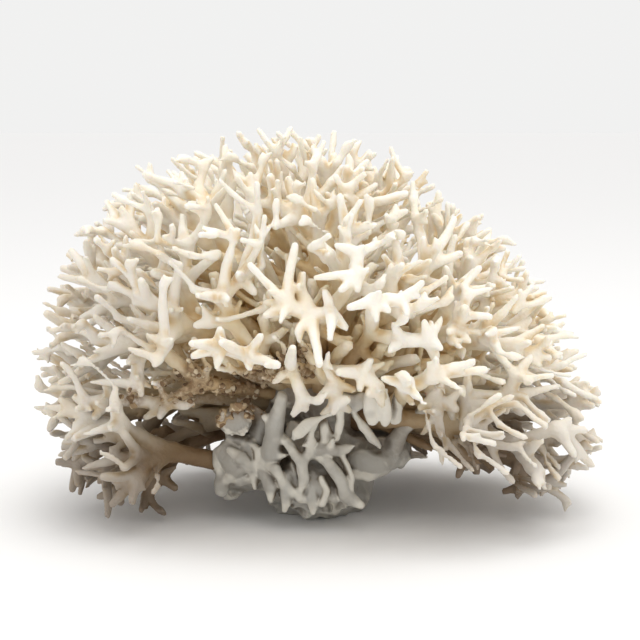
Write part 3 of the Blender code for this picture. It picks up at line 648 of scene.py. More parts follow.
def root_joint(towards, holdfast_tree):
    """The start of the bough that heads that way, on the holdfast's surface."""
    heading = (towards - CENTRE).normalized()
    hit = holdfast_tree.ray_cast(CENTRE + heading * RAY_START, -heading)[0]
    return Joint(hit + heading * ROOT_GAP if hit else CENTRE)


def placed_joint(entry):
    """The skeleton of one entry of FRONT_BOUGHS."""
    joint = Joint(seen_at(*entry[:3]))
    joint.children = [placed_joint(child) for child in entry[3:]]
    return joint


def split_in_two(targets):
    """The targets in two groups, parted across the line along which they spread most."""
    middle = sum(targets, Vector()) / len(targets)
    first = max(targets, key=lambda target: (target - middle).length)
    second = max(targets, key=lambda target: (target - first).length)
    line = second - first
    ordered = sorted(targets, key=lambda target: target.dot(line))
    half = max(1, len(ordered) // 2)
    return ordered[:half], ordered[half:]


def grow(joint, targets, dice):
    """Adds the limbs that carry the joint's bough to its targets, forking where they part."""
    if len(targets) == 1:
        joint.children.append(Joint(targets[0]))
        return
    middle = sum(targets, Vector()) / len(targets)
    spread = max((target - middle).length for target in targets)
    way = middle - joint.point
    length = way.length - spread * dice.uniform(*FORK_BACK) - FORK_GAP
    fork = joint
    is_stem = not joint.children and length > SHORTEST_STEM * SHORTEST_LIMB
    if length > SHORTEST_LIMB or is_stem:
        aside = Vector([dice.uniform(-FORK_WOBBLE, FORK_WOBBLE) for _ in range(3)])
        fork = Joint(joint.point + way.normalized() * length + aside)
        joint.children.append(fork)
    for group in split_in_two(targets):
        grow(fork, group, dice)


def add_knots(joint, dice):
    """Bends long limbs at a knot half way, where spurs can grow."""
    for number, child in enumerate(joint.children):
        add_knots(child, dice)
        length = (child.point - joint.point).length
        if length > LONGEST_LIMB and child.children:
            aside = Vector([dice.uniform(-KNOT_WOBBLE, KNOT_WOBBLE) for _ in range(3)])
            knot = Joint(joint.point.lerp(child.point, dice.uniform(*KNOT_PLACES)) + aside)
            knot.children = [child]
            joint.children[number] = knot


def tip_radius(dice):
    return TIP_RADIUS * dice.uniform(*TWIG_UNEVENNESS)


def set_radii(joint, dice):
    joint.radius = limb_radius(joint.twigs()) if joint.children else tip_radius(dice)
    for child in joint.children:
        set_radii(child, dice)


def other_root(root, move, holdfast_tree):
    """The root's place when it is moved aside on the holdfast."""
    return root_joint(root.point + Vector(move) * ASIDE_STEP, holdfast_tree).point


def lay_limbs(roots, crowd, holdfast_tree):
    """Keeps the limbs that have room, thick ones first, and drops the others."""
    waiting = [(name, root) for name, root in roots.items()]
    while waiting:
        name, joint = waiting.pop(0)
        at_root = joint is roots[name]
        starts = [joint.point]
        if at_root:
            starts += [other_root(joint, move, holdfast_tree) for move in ASIDE[1:]]
        hopeful = joint.children
        joint.children = []
        while hopeful and not (at_root and joint.children):
            child = hopeful.pop(0)
            if child.children:
                places = [child.point + Vector(move) * ASIDE_STEP for move in ASIDE]
            else:
                places = [joint.point.lerp(child.point, share) for share in SHORTENINGS]
            for start, place in itertools.product(starts, places):
                if crowd.has_room(name, Joint(start, joint.radius), Joint(place, child.radius)):
                    joint.point = start
                    child.point = place
                    crowd.add(name, joint, child)
                    joint.children.append(child)
                    waiting.append((name, child))
                    break
            else:
                branches = len(joint.children) + len(hopeful) + len(child.children)
                if branches <= MOST_BRANCHES or at_root:
                    hopeful += child.children


def is_beside(way, fork, degrees):
    """Whether something already grows from the fork within that angle of the way."""
    return any(way.angle(child.point - fork.point) < math.radians(degrees) for child in fork.children)


def fill_gaps(roots, spots, crowd, dice):
    """Grows twigs from the nearest forks to the spots of the dome that no tip has reached."""
    forks = []
    tips = []
    for name, root in roots.items():
        waiting = list(root.children)
        while waiting:
            joint = waiting.pop()
            waiting += joint.children
            if joint.children:
                forks.append((name, joint))
            else:
                tips.append(joint.point)
    for spot in spots:
        if min((spot - tip).length for tip in tips) < FILL_DISTANCE:
            continue
        near = [fork for fork in forks if (fork[1].point - spot).length < FILL_REACH]
        near.sort(key=lambda fork: (fork[1].point - spot).length)
        for name, joint in near:
            way = spot - joint.point
            if len(joint.children) >= MOST_BRANCHES or is_beside(way, joint, FILL_PARTING):
                continue
            if way.angle(joint.point - CENTRE) > math.radians(FILL_LEAN):
                continue
            twig = Joint(spot, tip_radius(dice))
            if crowd.has_room(name, joint, twig, beside_own=True):
                crowd.add(name, joint, twig)
                joint.children.append(twig)
                tips.append(spot)
                break


def add_spurs(name, joint, heading, crowd, dice):
    """Puts short pointed spurs on the sides of the forks and knots, where they have room."""
    for child in list(joint.children):
        if not child.is_spur:
            add_spurs(name, child, (child.point - joint.point).normalized(), crowd, dice)
    if not joint.children or (joint.point - CENTRE).length < SPURLESS_REACH:
        return
    side = heading.orthogonal()
    turn = dice.uniform(0, 2 * math.pi)
    grown = 0
    for number in range(SPUR_TRIES):
        if len(joint.children) >= MOST_BRANCHES or grown >= SPURS_PER_FORK:
            return
        around = Quaternion(heading, turn + number * math.radians(SPUR_TURN)) @ side
        lean = dice.uniform(*SPUR_LEANS)
        direction = (around.normalized() + heading * lean).normalized()
        if is_beside(direction, joint, SPUR_PARTING):
            continue
        length = dice.uniform(*SPUR_LENGTHS) + joint.radius
        spur = Joint(joint.point + direction * length, TIP_RADIUS, is_spur=True)
        if crowd.has_room(name, joint, spur, beside_own=True):
            crowd.add(name, joint, spur)
            joint.children.append(spur)
            grown += 1


def region_name(direction):
    """What a bough of the dome is called, by where it heads."""
    elevation = math.degrees(math.asin(direction.z))
    if elevation > CROWN_ELEVATION:
        return "crown_bough"
    if direction.y > BACK_SHARE:
        return "back_bough"
    if elevation < SKIRT_ELEVATION:
        return "skirt_bough"
    return "left_bough" if direction.x < 0 else "right_bough"


def front_roots(holdfast_tree):
    """The roots of the boughs in FRONT_BOUGHS, by name."""
    roots = {}
    for name, entry in FRONT_BOUGHS.items():
        first = placed_joint(entry)
        roots[name] = root_joint(first.point, holdfast_tree)
        roots[name].children = [first]
    return roots


def dome_targets(headings, dice):
    """Where the dome's twigs end: a list for each bough heading, of the spots nearest to it."""
    count = round(4 * math.pi * MEAN_REACH**2 / TWIG_SPACING**2)
    targets = [[] for _ in headings]
    for direction in sphere_points(count, dice, TARGET_WOBBLE * TWIG_SPACING / MEAN_REACH):
        target = CENTRE + direction * reach(direction) * dice.uniform(*TWIG_DEPTHS)
        thinned = direction.y > BACK_FROM and dice.random() < THINNER_BACK
        if is_dome(direction) and target.z > LOWEST_TIP and not thinned:
            nearest = min(range(len(headings)), key=lambda number: headings[number].angle(direction))
            targets[nearest].append(target)
    return targets


def skeleton(holdfast_tree):
    """Every bough's root joint by name, with its whole tree of limbs."""
    dice = random.Random(SEED)
    roots = front_roots(holdfast_tree)
    taken = [(root.point - CENTRE).normalized() for root in roots.values()]
    parting = math.radians(BOUGH_PARTING)
    headings = [
        direction
        for direction in sphere_points(BOUGH_COUNT, dice, BOUGH_WOBBLE)
        if is_dome(direction) and all(direction.angle(other) > parting for other in taken)
    ]
    targets = dome_targets(headings, dice)
    for number, (heading, mine) in enumerate(zip(headings, targets)):
        if len(mine) >= FEWEST_TWIGS:
            root = root_joint(CENTRE + heading, holdfast_tree)
            grow(root, mine, dice)
            roots[region_name(heading), number] = root
    crowd = Crowd(holdfast_tree)
    for root in roots.values():
        add_knots(root, dice)
        set_radii(root, dice)
    lay_limbs(roots, crowd, holdfast_tree)
    roots = {name: root for name, root in roots.items() if root.twigs() >= FEWEST_TWIGS}
    fill_gaps(roots, [spot for group in targets for spot in group], crowd, dice)
    for name, root in roots.items():
        stem = root.children[0]
        add_spurs(name, stem, (stem.point - root.point).normalized(), crowd, dice)
    return numbered(roots)


def numbered(roots):
    """The boughs by their final names: those of the dome count from 1 in each region."""
    named = {}
    counts = {}
    for name, root in roots.items():
        if name not in FRONT_BOUGHS:
            region = name[0]
            counts[region] = counts.get(region, 0) + 1
            name = f"{region}_{counts[region]}"
        named[name] = root
    return named


def node_tree_mm(name):
    """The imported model's surface of one node, in millimetres."""
    mesh = frame["nodes"][name].data
    points = [vertex.co / MM for vertex in mesh.vertices]
    return BVHTree.FromPolygons(points, [face.vertices for face in mesh.polygons])


class Noise:
    """Smooth noise between -1 and 1 from a repeating block of random numbers."""

    SIDE = 32

    def __init__(self, seed):
        self.block = np.random.default_rng(seed).uniform(-1, 1, (self.SIDE,) * 3).astype(np.float32)

    def at(self, points, size):
        """The noise at the points, with waves of about that size."""
        scaled = points / size
        low = np.floor(scaled)
        share = (scaled - low).astype(np.float32)
        share = share * share * (3 - 2 * share)
        low = low.astype(np.int64)
        total = np.zeros(len(points), np.float32)
        for corner in itertools.product((0, 1), repeat=3):
            cell = (low + corner) % self.SIDE
            weight = np.ones(len(points), np.float32)
            for axis in range(3):
                weight *= share[:, axis] if corner[axis] else 1 - share[:, axis]
            total += weight * self.block[cell[:, 0], cell[:, 1], cell[:, 2]]
        return total


class Field:
    """A block of grid points that hold the distance to a surface, negative inside it."""

    def __init__(self, low, high, step):
        self.step = step
        self.low = np.floor(np.array(low) / step) * step
        self.shape = tuple(np.ceil((np.array(high) - self.low) / step).astype(int) + 1)
        self.values = np.full(self.shape, FAR, np.float32)

    def window(self, low, high):
        """The slices of the grid, and its three axes of coordinates, that cover a box."""
        first = np.clip(np.floor((np.array(low) - self.low) / self.step).astype(int), 0, self.shape)
        last = np.clip(np.ceil((np.array(high) - self.low) / self.step).astype(int) + 1, 0, self.shape)
        slices = tuple(slice(a, b) for a, b in zip(first, last))
        axes = [
            (self.low[axis] + self.step * np.arange(first[axis], last[axis])).astype(np.float32)
            for axis in range(3)
        ]
        return slices, list(np.meshgrid(*axes, indexing="ij", sparse=True))

    def blend(self, slices, distance, fillet):
        """Joins a form to what the grid holds, with a fillet."""
        held = self.values[slices]
        overlap = np.maximum(fillet - np.abs(held - distance), 0) / fillet
        self.values[slices] = np.minimum(held, distance) - overlap * overlap * (fillet / 4)

    def carve(self, slices, distance, fillet):
        """Takes a form out of what the grid holds, with a rounded rim."""
        held = self.values[slices]
        overlap = np.maximum(fillet - np.abs(held + distance), 0) / fillet
        self.values[slices] = np.maximum(held, -distance) + overlap * overlap * (fillet / 4)

    def add_limb(self, points, radii, fillet, thinness=1.0):
        """Joins a curved limb that runs through the points, with the radius at each.

        Its depth from front to back is its width over thinness.
        """
        points = np.array(points, np.float32)
        margin = max(radii) + fillet + 2 * self.step
        slices, axes = self.window(points.min(0) - margin, points.max(0) + margin)
        points[:, 1] *= thinness
        axes[1] = axes[1] * thinness
        nearest = None
        for start, end, thick, thin in zip(points, points[1:], radii, radii[1:]):
            distance = stretch_distance(axes, start, end, thick, thin)
            nearest = distance if nearest is None else np.minimum(nearest, distance)
        self.blend(slices, nearest, fillet)

    def roughen(self, noise, size, depth, is_ridged=False):
        """Moves the surface in and out by smooth noise, with sharp ridges if it is ridged."""
        near = np.argwhere(np.abs(self.values) < 3 * self.step + depth)
        points = near * self.step + self.low
        heights = noise.at(points, size)
        if is_ridged:
            heights = 4 * np.abs(heights) - 1
        self.values[tuple(near.T)] += heights * depth

    def sample(self, points):
        """The field between its grid points."""
        scaled = (points - self.low) / self.step
        low = np.clip(np.floor(scaled).astype(int), 0, np.array(self.shape) - 2)
        share = scaled - low
        total = np.zeros(len(points))
        for corner in itertools.product((0, 1), repeat=3):
            weight = np.ones(len(points))
            for axis in range(3):
                weight *= share[:, axis] if corner[axis] else 1 - share[:, axis]
            cell = low + corner
            total += weight * self.values[cell[:, 0], cell[:, 1], cell[:, 2]]
        return total

    def gradient(self, points):
        """How the field rises along each axis at the points."""
        reach_out = SLOPE_REACH * self.step
        slopes = []
        for axis in range(3):
            move = np.zeros(3)
            move[axis] = reach_out
            slopes.append(self.sample(points + move) - self.sample(points - move))
        return np.stack(slopes, 1) / (2 * reach_out)

    def relief(self, points):
        """Two values from 0 to 1: how deep in a crease or fork a point is, and how thin the form there."""
        slope = self.gradient(points)
        normal = slope / (np.linalg.norm(slope, axis=1)[:, None] + TINY)
        outside = self.sample(points + normal * CREASE_REACH) / CREASE_REACH
        inside = self.sample(points - normal * RIM_REACH) / RIM_REACH
        return np.clip(1 - outside, 0, 1), np.clip(1 + inside, 0, 1)

    def skin(self):
        """Points and four-sided faces of the surface where the field is zero."""
        for axis in range(3):
            border = [slice(None)] * 3
            border[axis] = [0, -1]
            self.values[tuple(border)] = np.maximum(self.values[tuple(border)], self.step)
        inside = self.values < 0
        corners = [
            inside[tuple(slice(i, size - 1 + i) for i, size in zip(corner, self.shape))]
            for corner in itertools.product((0, 1), repeat=3)
        ]
        count = sum(corner.astype(np.int8) for corner in corners)
        crossed = (count > 0) & (count < 8)
        cells = np.argwhere(crossed)
        number = np.full(crossed.shape, -1, np.int64)
        number[crossed] = np.arange(len(cells))
        total = np.zeros((len(cells), 3))
        hits = np.zeros(len(cells))
        faces = []
        for axis in range(3):
            unit = np.eye(3, dtype=int)[axis]
            first_side = np.eye(3, dtype=int)[(axis + 1) % 3]
            second_side = np.eye(3, dtype=int)[(axis + 2) % 3]
            for across in itertools.product((0, 1), repeat=2):
                offset = first_side * across[0] + second_side * across[1]
                a = self.values[tuple((cells + offset).T)]
                b = self.values[tuple((cells + offset + unit).T)]
                crossing = (a < 0) != (b < 0)
                share = a[crossing] / (a[crossing] - b[crossing])
                total[crossing] += offset + share[:, None] * unit
                hits[crossing] += 1
            before = tuple(slice(0, size - (1 if i == axis else 0)) for i, size in enumerate(self.shape))
            after = tuple(slice(1 if i == axis else 0, size) for i, size in enumerate(self.shape))
            starts = np.argwhere(inside[before] != inside[after])
            leaving = inside[tuple(starts.T)]
            ring = [-first_side - second_side, -second_side, 0 * unit, -first_side]
            quads = np.stack([number[tuple((starts + step).T)] for step in ring], 1)
            quads[~leaving] = quads[~leaving][:, ::-1]
            faces.append(quads)
        points = self.low + (cells + total / hits[:, None]) * self.step
        return points, np.concatenate(faces)


def stretch_distance(axes, start, end, thick, thin):
    """The distance from each grid point to a straight stretch of limb that tapers."""
    way = end - start
    squared = max(float(way @ way), TINIEST)
    offset = [axis - value for axis, value in zip(axes, start)]
    along = (offset[0] * way[0] + offset[1] * way[1] + offset[2] * way[2]) / squared
    along = np.clip(along, 0, 1)
    x, y, z = (offset[axis] - along * way[axis] for axis in range(3))
    return np.sqrt(x * x + y * y + z * z) - (thick + (thin - thick) * along)


def relaxed(field, points, faces, rounds):
    """The points evened out among their neighbours, and set back on the surface after each round."""
    first = faces.ravel()
    second = np.roll(faces, -1, axis=1).ravel()
    count = np.bincount(first, minlength=len(points)) + np.bincount(second, minlength=len(points))
    for _ in range(rounds):
        middle = np.stack([
            np.bincount(first, points[second, axis], len(points))
            + np.bincount(second, points[first, axis], len(points))
            for axis in range(3)
        ], 1) / count[:, None]
        points = points + EVENING * (middle - points)
        slope = field.gradient(points)
        steep = np.maximum((slope * slope).sum(1), FLATTEST)
        points = points - slope * (field.sample(points) / steep)[:, None]
    return points


def curve_points(start, end, leaving, arriving, count):
    """Points on a curve from start to end that leaves and arrives in the given headings."""
    length = (end - start).length
    points = []
    for number in range(count + 1):
        t = number / count
        point = start * (2 * t**3 - 3 * t**2 + 1) + end * (3 * t**2 - 2 * t**3)
        point += leaving * length * (t**3 - 2 * t**2 + t) + arriving * length * (t**3 - t**2)
        points.append(point)
    return points


def random_side(heading, dice):
    return (Quaternion(heading, dice.uniform(0, 2 * math.pi)) @ heading.orthogonal()).normalized()


def outward_spur(start, end):
    """Where a spur of the dome ends once it is turned towards the outside, as a longer finger."""
    way = end.point - start.point
    outward = (start.point - CENTRE).normalized()
    turned = (way.normalized() + outward * SPUR_LIFT).normalized() * way.length * SPUR_STRETCH
    tip = start.point + turned
    offset = tip - CENTRE
    most = reach(offset.normalized()) * TWIG_DEPTHS[1]
    if offset.length > most:
        tip = CENTRE + offset * (most / offset.length)
    return tip if tip.z > LOWEST_TIP else end.point


def tapered(thick, thin, count):
    """Radii at the ends of count stretches, which narrow more and more towards the tip."""
    return [thick + (thin - thick) * (number / count) ** TAPER for number in range(count + 1)]


def limb_forms(start, end, heading, dice, is_dome_bough):
    """The curved forms of one limb: its own points and radii, then those of its nubs."""
    last = end.point
    if end.is_spur and is_dome_bough:
        last = outward_spur(start, end)
    way = (last - start.point).normalized()
    is_twig = not end.children
    thick = start.radius * LIMB_SCALE
    thin = end.radius * LIMB_SCALE
    arriving = way
    if end.is_spur:
        thick = min(thick, SPUR_BASE)
        thin = SPUR_TIP * dice.uniform(*SPUR_TIP_SPREAD)
    elif is_twig:
        thick = min(thick, TWIG_BASE)
        thin = TWIG_TIP * end.radius / TIP_RADIUS * dice.uniform(*TWIG_TIP_SPREAD)
        arriving = (way + random_side(way, dice) * dice.uniform(0, TIP_CURL)).normalized()
    if is_twig:
        last = last - way * thin
    leaving = way
    if way.dot(heading) > SHARPEST_FLOW:
        leaving = (way + heading * FORK_FLOW).normalized()
    length = (last - start.point).length
    count = max(FEWEST_STRETCHES, min(MOST_STRETCHES, round(length / BEND_STEP)))
    points = curve_points(start.point, last, leaving, arriving, count)
    radii = tapered(thick, thin, count)
    forms = [(points, radii)]
    if is_twig and length > NUBLESS_LENGTH:
        forms += nubs(points, dice)
    return forms


def bough_forms(root, dice, is_dome_bough):
    """Every curved form of a bough, from its stem outwards."""
    stem = root.children[0]
    heading = (stem.point - root.point).normalized()
    sunk = Joint(root.point - heading * ROOT_SINK, root.radius)
    forms = limb_forms(sunk, stem, heading, dice, is_dome_bough)
    waiting = [(stem, heading)]
    while waiting:
        joint, heading = waiting.pop(0)
        for child in joint.children:
            forms += limb_forms(joint, child, heading, dice, is_dome_bough)
            waiting.append((child, (child.point - joint.point).normalized()))
    return forms


def form_samples(points, radii):
    """Middle-line points of a form every SAMPLE_STEP, with the radius there."""
    samples = []
    for start, end, thick, thin in zip(points, points[1:], radii, radii[1:]):
        count = max(1, round((end - start).length / SAMPLE_STEP))
        for number in range(count):
            share = number / count
            samples.append((*start.lerp(end, share), thick + (thin - thick) * share))
    samples.append((*points[-1], radii[-1]))
    return samples


def fine_twig(spot, samples, count, dice):
    """The form of a twig from the nearest limb to the spot, and that limb's sample, if there is room."""
    held = samples[:count]
    away = np.linalg.norm(held[:, :3] - np.array(spot), axis=1)
    if (away - held[:, 3]).min() < FINE_TIP_GAP:
        return None
    outward = (spot - CENTRE).normalized()
    rise = (np.array(spot) - held[:, :3]) @ np.array(outward)
    suited = (away > FINE_LENGTHS[0]) & (away < FINE_LENGTHS[1])
    suited &= rise > away * math.cos(math.radians(FINE_LEAN))
    hopeful = np.flatnonzero(suited)
    hopeful = hopeful[np.argsort(away[hopeful])][:FINE_TRIES * FINE_SKIP:FINE_SKIP]
    for number in hopeful:
        base = Vector(held[number, :3])
        way = spot - base
        leaving = (way.normalized() + random_side(way.normalized(), dice) * FINE_BEND).normalized()
        arriving = (way.normalized() + outward * FINE_RISE).normalized()
        stretches = max(FEWEST_STRETCHES, round(way.length / BEND_STEP))
        points = curve_points(base, spot, leaving, arriving, stretches)
        thick = min(FINE_BASE, held[number, 3])
        radii = tapered(thick, FINE_TIP, len(points) - 1)
        path = np.array(form_samples(points, radii))
        clear = path[int(len(path) * FINE_CLEAR):]
        gaps = np.linalg.norm(held[None, :, :3] - clear[:, None, :3], axis=2)
        if (gaps - held[None, :, 3] - clear[:, None, 3]).min() > FINE_GAP:
            return points, radii, path, number
    return None


def pixel_of(point):
    """Where the photograph shows a point."""
    forward, upward = camera_axes(Vector)
    offset = point - (CAMERA_TARGET - forward * CAMERA_DISTANCE)
    scale = PIXELS_PER_MM * CAMERA_DISTANCE / offset.dot(forward)
    return PHOTO_MIDDLE + offset.x * scale, PHOTO_MIDDLE - offset.dot(upward) * scale


def pixels_of(points):
    """Where the photograph shows each row of an array of points, as two arrays."""
    forward, upward = camera_axes(np.array)
    offset = points - (np.array(CAMERA_TARGET) - forward * CAMERA_DISTANCE)
    scale = PIXELS_PER_MM * CAMERA_DISTANCE / (offset @ forward)
    return PHOTO_MIDDLE + offset[:, 0] * scale, PHOTO_MIDDLE - (offset @ upward) * scale


def is_grown(direction, spot):
    """Whether a fine twig may end there: above the skirt, and not in front of the holdfast."""
    elevation = math.degrees(math.asin(max(-1.0, min(1.0, direction.z))))
    if elevation < LOWEST_ELEVATION or spot.z < LOWEST_TIP:
        return False
    pixel_x, pixel_y = pixel_of(spot)
    left, top, right, bottom = HERO_WINDOW
    if spot.y < HERO_DEPTH and left < pixel_x < right and top < pixel_y < bottom:
        return False
    left, top, right, bottom = BROWN_WINDOW
    if spot.y < BROWN_DEPTH and left < pixel_x < right and top < pixel_y < bottom:
        return False
    if spot.y < 0 and pixel_y > np.interp(pixel_x, *LOWER_OUTLINE):
        return False
    left, top, right = HOLDFAST_WINDOW
    return spot.y > 0 or pixel_y < top or not left < pixel_x < right


def add_fine_twigs(forms, dice):
    """Fills the gaps between the modelled limbs with finer twigs, layer by layer inwards.

    Returns the sample points along every limb and twig.
    """
    held = [(*sample, node) for node in forms for form in forms[node] for sample in form_samples(*form)]
    owners = [row[4] for row in held]
    samples = np.zeros((len(held) + MOST_SAMPLES, 4))
    samples[:len(held)] = [row[:4] for row in held]
    count = len(held)
    for near, far in FINE_LAYERS:
        radius = MEAN_REACH * (near + far) / 2
        spots = round(4 * math.pi * radius**2 / FINE_SPACING**2)
        for direction in sphere_points(spots, dice, FINE_WOBBLE * FINE_SPACING / radius):
            angle = math.degrees(math.atan2(direction.z, direction.x))
            swell = float(np.interp(angle, *TOP_SWELL))
            spot = CENTRE + direction * reach(direction) * dice.uniform(near, far) * swell
            if not is_grown(direction, spot):
                continue
            found = fine_twig(spot, samples, count, dice)
            if found is None:
                continue
            points, radii, path, number = found
            node = owners[number]
            forms[node].append((points, radii))
            forms[node] += nubs(points, dice)
            samples[count:count + len(path)] = path
            owners += [node] * len(path)
            count += len(path)
    return samples[:count]


def nubs(points, dice):
    """A short side finger on a twig, or none."""
    if dice.random() > NUB_CHANCE:
        return []
    place = dice.randint(1, len(points) - 1) if len(points) > 2 else 1
    way = (points[place] - points[place - 1]).normalized()
    start = points[place - 1].lerp(points[place], 0.5)
    out = (random_side(way, dice) + way * dice.uniform(*NUB_LEANS)).normalized()
    return [([start, start + out * dice.uniform(*NUB_LENGTHS)], [NUB_BASE, NUB_TIP])]


def forms_box(forms):
    """The corners of a box round the forms, with room for their fillets."""
    points = np.array([point for points, _ in forms for point in points])
    most = max(max(radii) for _, radii in forms) + FILLET + 3 * VOXEL
    return points.min(0) - most, points.max(0) + most


def new_mesh(name, points, faces, values):
    """A smooth-shaded mesh in metres, with named values at its points."""
    mesh = bpy.data.meshes.new(name)
    mesh.vertices.add(len(points))
    mesh.vertices.foreach_set("co", (points * MM).astype(np.float32).ravel())
    mesh.loops.add(faces.size)
    mesh.loops.foreach_set("vertex_index", faces.astype(np.int32).ravel())
    mesh.polygons.add(len(faces))
    mesh.polygons.foreach_set("loop_start", np.arange(0, faces.size, 4, dtype=np.int32))
    mesh.polygons.foreach_set("use_smooth", np.ones(len(faces), bool))
    mesh.update(calc_edges=True)
    for label, numbers in values.items():
        attribute = mesh.attributes.new(label, "FLOAT", "POINT")
        attribute.data.foreach_set("value", numbers.astype(np.float32))
    return mesh


class Shade:
    """How densely the limbs fill the colony, to tell the sheltered places from the open ones."""

    CELL = 4.0
    STEPS = (6.0, 11.0, 16.0, 22.0, 29.0, 37.0)
    LIFTS = (0.0, 0.8)  # how far the ways out of the colony turn upwards
    STRENGTH = 1.5  # how strongly a centimetre of solid limb shades

    def __init__(self, samples):
        self.low = samples[:, :3].min(0) - 2 * self.CELL
        self.shape = tuple(np.ceil((samples[:, :3].max(0) - self.low) / self.CELL).astype(int) + 3)
        grid = np.zeros(self.shape)
        cells = ((samples[:, :3] - self.low) / self.CELL).astype(int)
        np.add.at(grid, tuple(cells.T), math.pi * samples[:, 3] ** 2 * SAMPLE_STEP / self.CELL**3)
        for axis in range(3):
            grid = (np.roll(grid, 1, axis) + 2 * grid + np.roll(grid, -1, axis)) / 4
        self.grid = grid

    def density(self, points):
        """The share of solid limb round each point."""
        cells = np.rint((points - self.low) / self.CELL).astype(int)
        cells = np.clip(cells, 0, np.array(self.shape) - 1)
        return self.grid[tuple(cells.T)]

    def openness(self, points):
        """From 0 where a point is deep among the limbs to 1 where nothing shelters it."""
        outward = points - np.array(CENTRE)
        outward /= np.linalg.norm(outward, axis=1)[:, None] + TINY
        total = np.zeros(len(points))
        for lift in self.LIFTS:
            way = outward + np.array((0, 0, lift))
            way /= np.linalg.norm(way, axis=1)[:, None] + TINY
            before = 0.0
            for step in self.STEPS:
                total += self.density(points + way * step) * (step - before) / len(self.LIFTS)
                before = step
        return np.exp(-self.STRENGTH * total / CENTIMETRE)


def set_in(values, start):
    """How far the painted shade has set in: not at start or above it, and fully one fade length below it.
    """
    return np.clip((start - values) / PAINTED_SHADE_FADE, 0, 1)


def painted_shade_share(points, outwards):
    """How much painted shade darkens each point: low down inside, low on the left, and faintly on the left
    up to a greater height.
    """
    across = points[:, 0]
    height = points[:, 2]
    inside = set_in(height, PAINTED_SHADE_TOP) * np.clip((PAINTED_SHADE_OUTSIDE - outwards) / PAINTED_SHADE_INNER_FADE, 0, 1)
    left = LEFT_PAINTED_SHADE_SHARE * set_in(across, LEFT_PAINTED_SHADE) * set_in(height, LEFT_PAINTED_SHADE_TOP)
    faint_shade = FAINT_SHADE_SHARE * (set_in(across, FAINT_SHADE_LEFT) * set_in(height, FAINT_SHADE_TOP))
    return np.maximum(np.maximum(inside, left), faint_shade)


def sediment_share(points):
    """How much sediment lies at each point, from 0 to 1."""
    across, down = pixels_of(points)
    share = np.zeros(len(points))
    for pixel_x, pixel_y, radius in SEDIMENT_SPOTS:
        away = np.hypot(across - pixel_x, down - pixel_y) / radius
        share = np.maximum(share, np.clip(SEDIMENT_EDGE - away, 0, 1))
    near, far = SEDIMENT_DEPTHS
    share *= (
        np.clip((points[:, 1] - near) / SEDIMENT_FADE, 0, 1)
        * np.clip((far - points[:, 1]) / SEDIMENT_FADE, 0, 1)
    )
    return share


def paint_values(points, shade, field):
    """What the materials are coloured by at each point, painted shade and a painted highlight among it."""
    offset = points - np.array(CENTRE)
    share = np.sqrt(sum((offset[:, axis] / DOME_HALF[axis]) ** 2 for axis in range(3)))
    crease, rim = field.relief(points)
    return {
        "outwards": np.clip(share, 0, MOST_OUTWARDS),
        "openness": shade.openness(points),
        "sediment": sediment_share(points),
        "painted_shade": painted_shade_share(points, share),
        "crease": crease,
        "rim": rim,
    }


def add_piece(name, field, rounds, material, replaced, shade):
    """The surface of a field as a piece, evened out in that many rounds, in place of a node or of none."""
    points, faces = field.skin()
    points = relaxed(field, points, faces, rounds)
    points[:, 2] = np.maximum(points[:, 2], 0.0)
    mesh = new_mesh(name, points, faces, paint_values(points, shade, field))
    mesh.materials.append(material)
    piece = bpy.data.objects.new(name, mesh)
    bpy.context.scene.collection.objects.link(piece)
    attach(piece, "root")
    if replaced:
        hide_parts(replaced)
    return piece


def bough_piece(node, forms, material, noise, shade):
    """The skin of one bough, in place of its node."""
    is_far = node.startswith(("back_bough", "skirt_bough"))
    fillet = FRONT_FILLET if node in FRONT_BOUGHS else FILLET
    field = Field(*forms_box(forms), FAR_VOXEL if is_far else VOXEL)
    for points, radii in forms:
        field.add_limb(points, radii, fillet)
    field.roughen(noise, *SWELLS)
    field.roughen(noise, *FINE_LUMPS)
    return add_piece(f"{node}_skin", field, 2, material, node, shade)


def core_piece(material, dice, noise, shade):
    """The stems that fill the inside of the colony, drawn more coarsely."""
    forms = []
    for direction in sphere_points(CORE_COUNT, dice, CORE_WOBBLE):
        far = reach(direction) * dice.uniform(*CORE_SPAN)
        end = CENTRE + direction * far
        if not is_grown(direction, end) or not is_grown(direction, end - Vector((0, 0, CORE_DROP))):
            continue
        arriving = (direction + random_side(direction, dice) * CORE_BEND).normalized()
        points = curve_points(CENTRE + direction * CORE_START, end, direction, arriving, CORE_STRETCHES)
        forms.append((points, np.linspace(*CORE_RADII, len(points)).tolist()))
    field = Field(*forms_box(forms), CORE_VOXEL)
    for points, radii in forms:
        field.add_limb(points, radii, FILLET)
    field.roughen(noise, *SWELLS)
    return add_piece("core_stems", field, 2, material, None, shade)


def lump_distance(axes, middle, half_sizes, tilt):
    """The distance from each grid point to a tilted egg-shaped lump, nearly exact at its surface."""
    turn = Matrix.Rotation(math.radians(tilt), 3, "Y").inverted()
    offset = [axis - value for axis, value in zip(axes, middle)]
    turned = [
        offset[0] * turn[row][0] + offset[1] * turn[row][1] + offset[2] * turn[row][2]
        for row in range(3)
    ]
    scaled = sum((value / size) ** 2 for value, size in zip(turned, half_sizes))
    doubled = sum((value / size**2) ** 2 for value, size in zip(turned, half_sizes))
    share = np.sqrt(np.maximum(scaled, TINY))
    return (share * (share - 1) / np.sqrt(np.maximum(doubled, TINIEST))).astype(np.float32)


def line_form(line):
    """The points and radii of a line of FOOT_LINES or FOOT_FLAPS."""
    return [seen_at(*entry[:3]) for entry in line], [entry[3] for entry in line]


